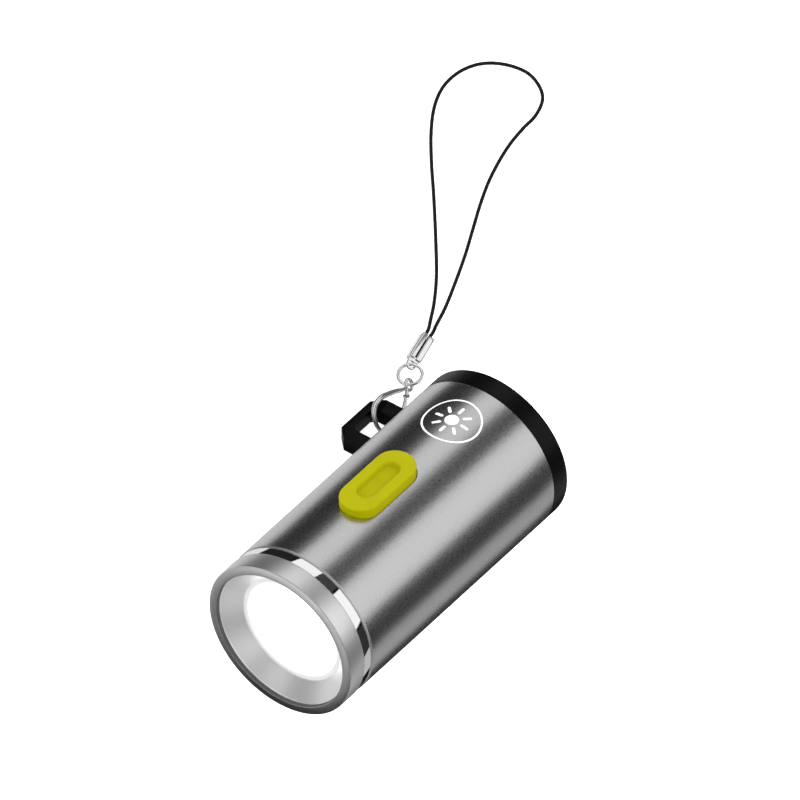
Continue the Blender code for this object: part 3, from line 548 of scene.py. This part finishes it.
CORD_ROUTE = (
    (77.0, 21.9), (79.9, 23.7), (83.9, 26.9), (88.9, 31.9), (94.0, 37.3),
    (97.7, 41.4), (101.5, 45.2), (105.4, 48.2), (109.4, 49.9), (113.5, 50.2),
    (117.4, 49.4), (120.8, 47.7), (123.8, 45.0), (125.7, 41.9), (125.7, 38.9),
    (124.3, 36.9), (121.1, 35.8), (117.4, 35.6), (113.2, 35.1), (108.9, 34.1),
    (104.6, 32.7), (100.3, 30.8), (95.8, 28.5), (91.3, 26.2), (86.2, 23.9),
    (81.1, 21.8), (77.6, 20.7),
)
CORD_RADIUS = 0.34 * MM
CORD_LEVEL = 1.0 * MM
CORD_POINTS = 620
CORD_LAY = 700
STRANDS = 3
STRAND_DEPTH = 0.3
MOUTH_GAP = 0.3 * MM
MOUTH_SPREAD = 0.42 * MM
MOUTH_RUN = Vector((1.4, 0.08, -0.12)) * MM
FLOOR_GAP = 0.02 * MM
CRIMP_HOLE = Vector(JOINTS["cord_end_swing"]["pos_m"])
CRIMP_YAW = radians(14)
CRIMP = Matrix.Translation(CRIMP_HOLE) @ Matrix.Rotation(CRIMP_YAW, 4, "Z")
CRIMP_TAB = 1.2 * MM
CRIMP_LENGTH = 5.4 * MM
CRIMP_WIDTH = 2.5 * MM
CRIMP_HEIGHT = 1.9 * MM
TAB_TIP = 1.0 * MM
TAB_HOLE = 0.58 * MM
TAB_THICKNESS = 0.45 * MM
TAB_EDGE = 0.1 * MM
TAB_LAP = 0.4 * MM
CRIMP_SEAM = 0.17 * MM
CRIMP_CORNER = 0.4 * MM
CRIMP_WALL = 0.32 * MM
CRIMP_END = 0.25 * MM
LIP_DEPTH = 0.25 * MM
LIP_ROUND = 0.12 * MM
CORD_TUCK = 0.9 * MM


def make_cord(crimp_pieces):
    """One cord from the crimp's mouth, round the loop and back into the crimp."""
    back = CRIMP_TAB + CRIMP_LENGTH + MOUTH_GAP
    level = TABLE + CORD_LEVEL - CRIMP_HOLE.z
    ends = []
    for side in (1, -1):
        mouth = Vector((back, side * MOUTH_SPREAD, level))
        beyond = mouth + Vector((MOUTH_RUN.x, side * MOUTH_RUN.y, MOUTH_RUN.z))
        ends.append([CRIMP @ mouth, CRIMP @ beyond])
    rest = TABLE + CORD_RADIUS + FLOOR_GAP
    route = [Vector((FRONT + x * MM, y * MM, rest)) for x, y in CORD_ROUTE]
    path = smooth_route([*ends[0], *route, *reversed(ends[1])], CORD_POINTS)
    mesh = tube(
        "lanyard_cord_yarn", path, CORD_RADIUS, 14, twist=CORD_LAY, lobes=STRANDS, lobe_depth=STRAND_DEPTH
    )
    cord = add_piece(
        "lanyard_cord_yarn", mesh, [YARN], "cord_end", ["lanyard_cord"], Matrix.Identity(4)
    )


def crimp_section(low, high):
    """The folded strip's outer outline, from one lip of its seam round to the other."""
    half, corner = CRIMP_WIDTH / 2, CRIMP_CORNER
    section = [Vector((-CRIMP_SEAM, high - LIP_DEPTH)), Vector((-CRIMP_SEAM - LIP_ROUND, high))]
    corners = (
        (-half + corner, high - corner, pi / 2), (-half + corner, low + corner, pi),
        (half - corner, low + corner, 3 * pi / 2), (half - corner, high - corner, 0),
    )
    for centre_y, centre_z, start in corners:
        for step in range(6):
            turn = start + pi / 2 * step / 5
            section.append(Vector((centre_y + corner * cos(turn), centre_z + corner * sin(turn))))
    return section + [Vector((CRIMP_SEAM + LIP_ROUND, high)), Vector((CRIMP_SEAM, high - LIP_DEPTH))]


def crimp_strip(low, high):
    """The wall between the outer outline and one drawn in towards the middle, with a pinched front and rear."""
    section = crimp_section(low, high)
    middle = Vector((0, (low + high) / 2))
    inner = []
    for point in section:
        inward = middle - point
        inner.append(point + inward.normalized() * min(CRIMP_WALL, inward.length * 0.6))
    outline = section + inner[::-1]
    count = len(outline)
    end = CRIMP_TAB + CRIMP_LENGTH
    shape = bmesh.new()
    rows = []
    for x, size in ((CRIMP_TAB, 0.86), (CRIMP_TAB + CRIMP_END, 1.0), (end - CRIMP_END, 1.0), (end, 0.9)):
        rows.append([shape.verts.new((x, p.x * size, middle.y + (p.y - middle.y) * size)) for p in outline])
    for one, two in zip(rows, rows[1:]):
        for i in range(count):
            shape.faces.new((one[i], one[(i + 1) % count], two[(i + 1) % count], two[i]))
    for row in (rows[0], rows[-1]):
        for i in range(len(section) - 1):
            shape.faces.new((row[i], row[i + 1], row[count - 2 - i], row[count - 1 - i]))
    return finish_mesh("crimp_fold", shape, 35)


def crimp_plate():
    """The flat tab that narrows to a round tip, with the jump ring's hole."""
    half = CRIMP_WIDTH / 2 - TAB_EDGE
    turns = [radians(115 + 130 * step / 12) for step in range(13)]
    tip = [(TAB_TIP * cos(turn), TAB_TIP * sin(turn)) for turn in turns]
    hole = [(point.x, -point.y) for point in ring_points(TAB_HOLE, 24)]
    outline = [*tip, (CRIMP_TAB + TAB_LAP, -half), (CRIMP_TAB + TAB_LAP, half)]
    return extruded("crimp_tab", [outline, hole], -TAB_THICKNESS / 2, TAB_THICKNESS / 2, TAB_EDGE)


def make_crimp():
    """A strip folded over both cord ends, its two edges meeting in a seam along the top."""
    low = TABLE + 0.05 * MM - CRIMP_HOLE.z
    strip = crimp_strip(low, low + CRIMP_HEIGHT)
    fold = add_piece(
        "crimp_fold", strip, [HARDWARE], "cord_end", ["cord_crimp"], CRIMP
    )
    tab = add_piece(
        "crimp_tab", crimp_plate(), [HARDWARE], "cord_end", ["cord_crimp"], CRIMP
    )
    level = TABLE + CORD_LEVEL + 0.1 * MM - CRIMP_HOLE.z
    start, run = CRIMP_TAB + CORD_TUCK, CRIMP_LENGTH - CORD_TUCK
    for name, side in (("cord_end_left", 1), ("cord_end_right", -1)):
        path = [Vector((start + run * i / 40, side * 0.36 * MM, level)) for i in range(41)]
        mesh = tube(name, path, CORD_RADIUS, 12, twist=CORD_LAY, lobes=STRANDS, lobe_depth=0.25)
        add_piece(name, mesh, [YARN], "cord_end", (), CRIMP)
    return [fold, tab]


# ---- head ----

TUBE_RADIUS = 15.0 * MM
RIM_RADIUS = 13.3 * MM
RIM_SETBACK = 0.26 * MM
CONE_FRONT = 0.85 * MM
TRIM_LESS = 0.2 * MM
LENS_OPENING = 10.2 * MM
LENS_FRONT = from_front("front_lens", 0) - 0.05 * MM
NECK_BORE = 11.6 * MM
NECK_RADIUS = 13.25 * MM


def make_bezel():
    shell = from_front("trim_ring", 0) - 0.05 * MM
    rear = from_front("bezel", 1)
    outline = [
        (0, RIM_RADIUS), (RIM_SETBACK, TUBE_RADIUS), (shell, TUBE_RADIUS), (shell, NECK_RADIUS),
        (rear, NECK_RADIUS), (rear, NECK_BORE), (LENS_FRONT, NECK_BORE), (LENS_FRONT, LENS_OPENING),
        (CONE_FRONT, RIM_RADIUS - 0.08 * MM),
    ]
    mesh = lathe("bezel_turned", filleted(outline, 0.16 * MM), 224, smooth_angle=30)
    faces = [(face, face.center.copy(), face.normal.x) for face in mesh.polygons]
    add_piece("bezel_turned", mesh, [BEZEL_SATIN, RIM, CONE, RIM_WALL_SHADE], "housing", ["bezel"])
    # The front rim gets the turned finish, the short wall inside it the painted shade, and the cone its own satin.
    for face, middle, facing in faces:
        radius = hypot(middle.y, middle.z)
        if facing < -0.9 and middle.x < RIM_SETBACK:
            face.material_index = 1
        elif middle.x < CONE_FRONT - 0.05 * MM and radius < RIM_RADIUS + 0.05 * MM:
            face.material_index = 3
        elif middle.x < LENS_FRONT and radius < RIM_RADIUS + 0.05 * MM:
            face.material_index = 2


def make_trim():
    start, end = from_front("trim_ring", 0), from_front("trim_ring", 1) - TRIM_LESS
    outer, inner = TUBE_RADIUS - 0.12 * MM, NECK_RADIUS + 0.1 * MM
    outline = [(start, inner), (start, outer), (end, outer), (end, inner)]
    add_piece(
        "trim_ring_polished", lathe("trim_ring_polished", filleted(outline, 0.06 * MM), 224), [MIRROR], "housing",
        ["trim_ring"],
    )


def make_lens():
    """A slightly crowned disc, lit evenly from behind."""
    start, end = from_front("front_lens", 0), from_front("front_lens", 1)
    edge = NECK_BORE - 0.2 * MM
    crown = [(start + 0.02 * MM + 0.1 * MM * (share / 8) ** 2, edge * share / 8) for share in range(9)]
    outline = crown + [(end, edge), (end, 0)]
    add_piece("front_lens_lit", lathe("front_lens_lit", outline, 128), [LENS_GLOW], "housing",
              ["front_lens"])


# ---- body ----

BORE_RADIUS = 13.4 * MM
LEAD_EDGE = 0.42 * MM
REAR_EDGE = 0.12 * MM
BUTTON_LENGTH = 16.9 * MM
BUTTON_WIDTH = 7.4 * MM
BUTTON_CENTRE = 27.5 * MM
BUTTON_TOP = 16.65 * MM
BUTTON_FOOT = 11.9 * MM
BUTTON_SHOULDER = 14.2 * MM
BUTTON_EDGE = 0.35 * MM
DISH_LENGTH, DISH_WIDTH, DISH_DEPTH = 10.2 * MM, 3.5 * MM, 0.95 * MM
DISH_CENTRE = 0.2 * MM
DISH_SOFT = 0.32 * MM
DISH_STEPS = ((0.5, 0), (0.25, 0.02), (0, 0.1), (-0.9, 0.75), (-1.15, 0.95), (-1.5, 1.0))
DISH_FLAT = 3.2 * MM
LIP_SPREAD = 1.8 * MM
LIP_LOW, LIP_HIGH, LIP_EDGE = 11.05 * MM, 11.75 * MM, 0.08 * MM
SLOT_GAP = 0.15 * MM
LUG_START, LUG_END = 45.1 * MM, 57.1 * MM
LUG_REACH = 22.6 * MM
LUG_HALF = 1.45 * MM
LUG_CHAMFER = 2.0 * MM
LUG_EDGE = 0.15 * MM
HOLE_START, HOLE_END = 48.0 * MM, 54.1 * MM
HOLE_INNER, HOLE_OUTER = 16.0 * MM, 21.1 * MM
HOLE_CORNER = 0.8 * MM
CARRIER_START, CARRIER_END = 44.0 * MM, 51.5 * MM
CARRIER_INNER, CARRIER_OUTER = 12.0 * MM, 13.25 * MM


def make_tube():
    start, end = from_front("body_tube", 0) - TRIM_LESS, from_front("body_tube", 1)
    stations = 12
    turns = [pi / 2 * i / 8 for i in range(9)]
    lead = [(start + LEAD_EDGE * (1 - cos(a)), TUBE_RADIUS - LEAD_EDGE * (1 - sin(a))) for a in turns]
    back = [(end - REAR_EDGE * (1 - sin(a)), TUBE_RADIUS - REAR_EDGE * (1 - cos(a))) for a in turns]
    run = [(start + (end - start) * i / stations, TUBE_RADIUS) for i in range(1, stations)]
    outline = [(start, BORE_RADIUS), *lead, *run, *back, (end, BORE_RADIUS)]
    mesh = lathe("body_tube_satin", outline, 256, smooth_angle=30)
    opening = stadium(BUTTON_LENGTH + 2 * SLOT_GAP, BUTTON_WIDTH + 2 * SLOT_GAP, BUTTON_CENTRE)
    slot = extruded("slot", [opening], 10 * MM, 18 * MM)
    lug_slot = box_mesh(
        (LUG_START - 0.1 * MM, 8 * MM, -LUG_HALF - 0.1 * MM), (end + 5 * MM, 18 * MM, LUG_HALF + 0.1 * MM)
    )
    mesh = cut(mesh, [slot, lug_slot])
    # The lead chamfer takes the lighter, rougher satin: its lighter tone is a painted highlight along the tube's
    # front edge.
    highlight_lead_faces = [face for face in mesh.polygons if face.center.x < start + LEAD_EDGE]
    add_piece("body_tube_satin", mesh, [SATIN, EDGE_HIGHLIGHT_SATIN], "housing", ["body_tube"])
    for face in highlight_lead_faces:
        face.material_index = 1


def stadium_loop(length, width, height, centre=0.0):
    return [(x, y, height) for x, y in stadium(length, width, centre)]


def make_button():
    """Straight sides, a rounded top edge and a dished thumb recess."""
    loops = [stadium_loop(BUTTON_LENGTH, BUTTON_WIDTH, height) for height in (BUTTON_FOOT, BUTTON_SHOULDER)]
    for step in range(7):
        turn = pi / 2 * step / 6
        inset = 2 * BUTTON_EDGE * (1 - cos(turn))
        height = BUTTON_TOP - BUTTON_EDGE * (1 - sin(turn))
        loops.append(stadium_loop(BUTTON_LENGTH - inset, BUTTON_WIDTH - inset, height))
    for spread, drop in DISH_STEPS:
        grown = 2 * spread * DISH_SOFT
        height = BUTTON_TOP - drop * DISH_DEPTH
        loops.append(stadium_loop(DISH_LENGTH + grown, DISH_WIDTH + grown, height, DISH_CENTRE))
    floor = BUTTON_TOP - DISH_DEPTH
    loops.append(stadium_loop(DISH_LENGTH - DISH_FLAT, DISH_WIDTH - DISH_FLAT, floor, DISH_CENTRE))
    place = LOCAL @ Matrix.Translation((BUTTON_CENTRE, 0, 0))
    cap = loft("button_cap_soft", loops, 50)
    add_piece("button_cap_soft", cap, [LIME], "button", ["button_cap"], place)
    edge = stadium(BUTTON_LENGTH + LIP_SPREAD, BUTTON_WIDTH + LIP_SPREAD)
    lip = extruded("button_lip", [edge], LIP_LOW, LIP_HIGH, LIP_EDGE)
    add_piece("button_lip", lip, [LIME], "button", ["button_cap"], place)


def make_lug():
    """The plate with its window, and the ring inside the tube that carries it."""
    foot = BORE_RADIUS + 0.2 * MM
    outline = [
        (LUG_START, foot), (LUG_END, foot), (LUG_END, LUG_REACH - LUG_CHAMFER), (LUG_END - LUG_CHAMFER, LUG_REACH),
        (LUG_START + LUG_CHAMFER, LUG_REACH), (LUG_START, LUG_REACH - LUG_CHAMFER),
    ]
    hole = [
        (HOLE_START, HOLE_INNER), (HOLE_END, HOLE_INNER), (HOLE_END, HOLE_OUTER - HOLE_CORNER),
        (HOLE_END - HOLE_CORNER, HOLE_OUTER), (HOLE_START + HOLE_CORNER, HOLE_OUTER),
        (HOLE_START, HOLE_OUTER - HOLE_CORNER),
    ]
    plate = extruded("lug_plate", [outline, hole[::-1]], -LUG_HALF, LUG_HALF, LUG_EDGE)
    add_piece("lug_plate", plate, [BLACK], "housing", ["lanyard_lug"])
    ring = [
        (CARRIER_START, CARRIER_INNER), (CARRIER_START, CARRIER_OUTER), (CARRIER_END, CARRIER_OUTER),
        (CARRIER_END, CARRIER_INNER),
    ]
    carrier = lathe("lug_carrier_ring", filleted(ring, TAB_EDGE), 128)
    add_piece("lug_carrier_ring", carrier, [BLACK], "housing", ["lanyard_lug"])


CAP_EDGE = 0.5 * MM
CAP_BEVEL = 0.08 * MM
CAP_FLOOR = 59.0 * MM
THREAD_RADIUS, THREAD_BORE = 13.0 * MM, 12.0 * MM
THREAD_PITCH, THREAD_DEPTH, THREAD_RUNOUT = 1.0 * MM, 0.3 * MM, 0.6 * MM


def make_tail_cap():
    """The cap, with a real helical thread on its neck."""
    start, end = from_front("tail_cap", 0), from_front("tail_cap", 1)
    seat = from_front("body_tube", 1) + 0.05 * MM
    stations = 60
    neck = [(start + (seat - start) * i / stations, THREAD_RADIUS) for i in range(stations + 1)]
    corner = []
    for step in range(7):
        turn = pi / 2 * step / 6
        corner.append((end - CAP_EDGE + CAP_EDGE * sin(turn), TUBE_RADIUS - CAP_EDGE + CAP_EDGE * cos(turn)))
    outline = [
        (CAP_FLOOR, 0), (CAP_FLOOR, THREAD_BORE), (start, THREAD_BORE), *neck,
        (seat, TUBE_RADIUS - CAP_BEVEL), (seat + CAP_BEVEL, TUBE_RADIUS), *corner,
        (end, TUBE_RADIUS * 0.5), (end, 0),
    ]

    def thread(x, radius, angle):
        if abs(radius - THREAD_RADIUS) > 0.01 * MM or x > seat - THREAD_RUNOUT:
            return radius
        phase = (x / THREAD_PITCH - angle / (2 * pi)) % 1.0
        return radius + THREAD_DEPTH * (abs(2 * phase - 1) - 0.5)

    mesh = lathe("tail_cap_threaded", outline, 192, thread, 35)
    add_piece("tail_cap_threaded", mesh, [BLACK], "tail_cap", ["tail_cap"])


# ---- printed mark: a plain ring with a generic brightness symbol ----

MARK_CENTRE = 48.2 * MM
MARK_RADIUS = 5.3 * MM
MARK_LINE = 0.33 * MM
SUN_RADIUS = 1.25 * MM
RAYS = 8
RAY_NEAR, RAY_FAR, RAY_HALF = 2.1 * MM, 3.2 * MM, 0.27 * MM
INK = 0.02 * MM


def wrap_on_tube(flat):
    """(x, y) on the print, laid on the tube's crown behind the button."""
    x, y = flat
    around = y / TUBE_RADIUS
    radius = TUBE_RADIUS + INK
    return Vector((MARK_CENTRE + x, radius * sin(around), radius * cos(around)))


def printed_ring(shape, outer, inner, steps=96):
    for i in range(steps):
        a, b = 2 * pi * i / steps, 2 * pi * (i + 1) / steps
        corners = [(outer * cos(a), outer * sin(a)), (outer * cos(b), outer * sin(b)),
                   (inner * cos(b), inner * sin(b)), (inner * cos(a), inner * sin(a))]
        shape.faces.new([shape.verts.new(wrap_on_tube(corner)) for corner in corners])


def printed_ray(shape, angle, near, far, half):
    """A bar that points out from the middle of the mark, with round ends."""
    along, across = Vector((cos(angle), sin(angle))), Vector((-sin(angle), cos(angle)))
    edge = []
    for centre, start in ((far, -pi / 2), (near, pi / 2)):
        for step in range(7):
            turn = start + pi * step / 6
            edge.append(along * (centre + half * cos(turn)) + across * half * sin(turn))
    middle = shape.verts.new(wrap_on_tube(along * (near + far) / 2))
    verts = [shape.verts.new(wrap_on_tube(point)) for point in edge]
    for first, second in zip(verts, verts[1:] + verts[:1]):
        shape.faces.new((middle, first, second))


def make_mark():
    shape = bmesh.new()
    printed_ring(shape, MARK_RADIUS, MARK_RADIUS - MARK_LINE)
    printed_ring(shape, SUN_RADIUS, 0.0005 * MM, 48)
    for ray in range(RAYS):
        printed_ray(shape, 2 * pi * ray / RAYS, RAY_NEAR, RAY_FAR, RAY_HALF)
    bmesh.ops.remove_doubles(shape, verts=shape.verts, dist=0.002 * MM)
    add_piece("printed_mark", finish_mesh("printed_mark", shape), [PAINT], "housing")


# ---- lanyard hardware ----

CLASP_MIDDLE = Vector(JOINTS["clasp_swing"]["pos_m"])
CLASP_EYE = Vector(JOINTS["ring_swing"]["pos_m"])
CLASP_NORMAL = -Vector(JOINTS["gate_open"]["axis"])
CLASP_WIRE = 0.46 * MM
PIVOT_RADIUS = 0.32 * MM
EYE_RADIUS, EYE_WIRE = 0.95 * MM, 0.32 * MM
KNUCKLE_WIRE, GATE_WIRE, THUMB_WIRE, RING_WIRE = 0.34 * MM, 0.36 * MM, 0.28 * MM, 0.3 * MM
RING_TILT = radians(35)

# Routes in the clasp's own plane, in millimetres. HOOK_NECK and GATE_PIVOT are measured from the neck's end.
HOOK_NECK = ((0, 0.05), (-1.3, 0.55), (-3.0, 1.45))
HOOK_BOW = (
    (2.0, 2.55), (0.2, 3.15), (-1.8, 3.2), (-3.3, 2.2), (-3.85, 0.5), (-3.4, -1.3), (-2.4, -2.45), (-1.3, -3.0)
)
GATE_PIVOT = (-0.9, -1.05)
GATE_ROUTE = ((-0.42, -0.2), (-1.6, -0.9), (-3.2, -1.6), (-5.0, -2.05), (-6.1, -2.1))
THUMB_ROUTE = ((-1.6, -0.9), (-1.4, -1.5), (-1.0, -1.8))
BARREL_HEIGHTS = (-0.5, -0.45, 0, 0.45, 0.5)


def clasp_place():
    along = (CLASP_EYE - CLASP_MIDDLE).normalized()
    across = CLASP_NORMAL.cross(along).normalized()
    return Matrix.Translation(CLASP_MIDDLE) @ Matrix((along, across, CLASP_NORMAL)).transposed().to_4x4()


def scaled(points):
    return [(x * MM, y * MM, 0) for x, y in points]


def hook_thickness(share):
    return CLASP_WIRE * (0.72 + 0.4 * sin(pi * min(share * 1.25, 1)))


def hardware_bar(name, points, radius, sides, body, stands_for, place, closed=False):
    mesh = tube(name, points, radius, sides, closed)
    add_piece(name, mesh, [HARDWARE], body, [stands_for], place)


def make_clasp():
    """A hook that tapers to its tip, the eye at its root, and the gate on its barrel."""
    place = clasp_place()
    reach = (CLASP_EYE - CLASP_MIDDLE).length
    neck = (reach - EYE_RADIUS) / MM
    hook = [*((neck + x, y) for x, y in HOOK_NECK), *HOOK_BOW]
    hardware_bar("clasp_hook", smooth_route(scaled(hook), 90), hook_thickness, 20, "clasp", "clasp_body", place)
    eye = [point + Vector((reach, 0, 0)) for point in ring_points(EYE_RADIUS)]
    hardware_bar("clasp_eye", eye, EYE_WIRE, 16, "clasp", "clasp_body", place, closed=True)
    pivot = Vector((neck + GATE_PIVOT[0], GATE_PIVOT[1], 0)) * MM
    arm = [(neck * MM, 0, 0), ((neck - 0.3) * MM, -0.5 * MM, 0), (pivot.x + 0.2 * MM, pivot.y + 0.15 * MM, 0)]
    hardware_bar("clasp_knuckle", smooth_route(arm, 16), KNUCKLE_WIRE, 16, "clasp", "clasp_body", place)
    barrel = [pivot + Vector((0, 0, height * MM)) for height in BARREL_HEIGHTS]
    hardware_bar("clasp_pivot", barrel, PIVOT_RADIUS, 20, "clasp", "clasp_body", place)
    hinge = place @ Matrix.Translation(pivot)
    lever = smooth_route(scaled(GATE_ROUTE), 50)
    hardware_bar("gate_lever_bar", lever, GATE_WIRE, 16, "gate_lever", "clasp_gate", hinge)
    thumb = smooth_route(scaled(THUMB_ROUTE), 14)
    hardware_bar("gate_thumb_tab", thumb, THUMB_WIRE, 14, "gate_lever", "clasp_gate", hinge)


def make_jump_ring():
    """A ring through the clasp's eye and the crimp's hole, leaning over from upright."""
    along = (CRIMP_HOLE - CLASP_EYE).normalized()
    side = Vector((0, 0, 1)).cross(along).normalized()
    lean = cos(RING_TILT) * side - sin(RING_TILT) * along.cross(side)
    radius = (CRIMP_HOLE - CLASP_EYE).length / 2
    middle = (CRIMP_HOLE + CLASP_EYE) / 2
    circle = [middle + point.x * along + point.y * lean for point in ring_points(radius, 96)]
    still = Matrix.Identity(4)
    hardware_bar("jump_ring_wire", circle, RING_WIRE, 16, "jump_ring", "jump_ring", still, closed=True)


# ---- studio ----

STRIPS = (
    # (first angle, last angle, radiance): degrees about the tube's axis from the camera's side, away from the lug
    (-168, -118, 0.78),
    (-118, -67, 0.015),
    (-67, -28, 0.95),
    (-28, -1, 0.05),
    (-1, 58, 0.99),
    (58, 96, 0.03),
    (96, 134, 0.50),
    (134, 192, 0.01),
)
STRIP_DISTANCE = 0.4
STRIP_LENGTH = 1.5
FLOOR_SIZE = 3.0
RIM_LIGHT_WAY = Vector((-0.88, -0.05, -0.47))
RIM_LIGHT_SIZE = 0.18
RIM_LIGHT_RADIANCE = 1.3


def add_rim_light():
    """A card low in front, which only the front face's turned rim reflects to the camera."""
    data = bpy.data.lights.new("rim_card", "AREA")
    data.shape = "SQUARE"
    data.size = RIM_LIGHT_SIZE
    data.energy = RIM_LIGHT_RADIANCE * pi * RIM_LIGHT_SIZE**2
    card = bpy.data.objects.new("rim_card", data)
    bpy.context.scene.collection.objects.link(card)
    card.location = LOCAL.translation + STRIP_DISTANCE * RIM_LIGHT_WAY.normalized()
    card.rotation_euler = RIM_LIGHT_WAY.to_track_quat("Z", "Y").to_euler()
    card.visible_camera = False


def make_floor():
    """Pale paper that lights the object evenly from below and isn't seen in its reflections."""
    shape = bmesh.new()
    bmesh.ops.create_grid(shape, x_segments=1, y_segments=1, size=FLOOR_SIZE)
    mesh = bpy.data.meshes.new("floor")
    shape.to_mesh(mesh)
    shape.free()
    floor = bpy.data.objects.new("floor", mesh)
    paper = new_material(
        "floor_paper", (0.8, 0.8, 0.8), 0.9, Specular_IOR_Level=0.0, Emission_Color=(1, 1, 1, 1),
        Emission_Strength=0.9,
    )
    vary(paper, noise(paper, 40, 2.0), "Base Color", (0.79, 0.79, 0.79), (0.81, 0.81, 0.81))
    mesh.materials.append(paper)
    bpy.context.scene.collection.objects.link(floor)
    floor.location.z = TABLE - 0.01 * MM
    floor.visible_glossy = False
    floor.visible_shadow = False


def make_world():
    world = bpy.data.worlds.new("studio")
    world.use_nodes = True
    world.node_tree.nodes["Background"].inputs["Color"].default_value = (1, 1, 1, 1)
    world.node_tree.nodes["Background"].inputs["Strength"].default_value = 1.0
    world.cycles_visibility.glossy = False
    bpy.context.scene.world = world
    bpy.context.scene.view_settings.view_transform = "Standard"


def add_strip(name, first, last, radiance):
    """A long card beside the tube, which the tube reflects as a band."""
    facing = LOCAL.to_3x3() @ CAMERA_BACK
    angle = atan2(facing.y, facing.z) - radians((first + last) / 2)
    data = bpy.data.lights.new(name, "AREA")
    data.shape = "RECTANGLE"
    data.size = 2 * STRIP_DISTANCE * sin(radians(last - first) / 2)
    data.size_y = STRIP_LENGTH
    data.energy = radiance * pi * data.size * STRIP_LENGTH
    strip = bpy.data.objects.new(name, data)
    bpy.context.scene.collection.objects.link(strip)
    way = Vector((0, sin(angle), cos(angle)))
    along = Vector((1, 0, 0))
    across = along.cross(way)
    turn = Matrix((across, along, across.cross(along))).transposed().to_4x4()
    if turn.col[2].to_3d().dot(way) < 0:
        turn = turn @ Matrix.Rotation(pi, 4, "Y")
    strip.matrix_world = Matrix.Translation(way * STRIP_DISTANCE + Vector((FRONT / 2, 0, 0))) @ turn
    strip.visible_camera = False


def make_studio():
    make_floor()
    make_world()
    for number, (first, last, radiance) in enumerate(STRIPS, 1):
        add_strip(f"strip_{number}", first, last, radiance)
    add_rim_light()


make_camera()
make_cord(make_crimp())
dress_cad_nodes()
make_bezel()
make_trim()
make_lens()
make_tube()
make_button()
make_lug()
make_tail_cap()
make_mark()
make_clasp()
make_jump_ring()
make_studio()

bpy.context.view_layer.update()
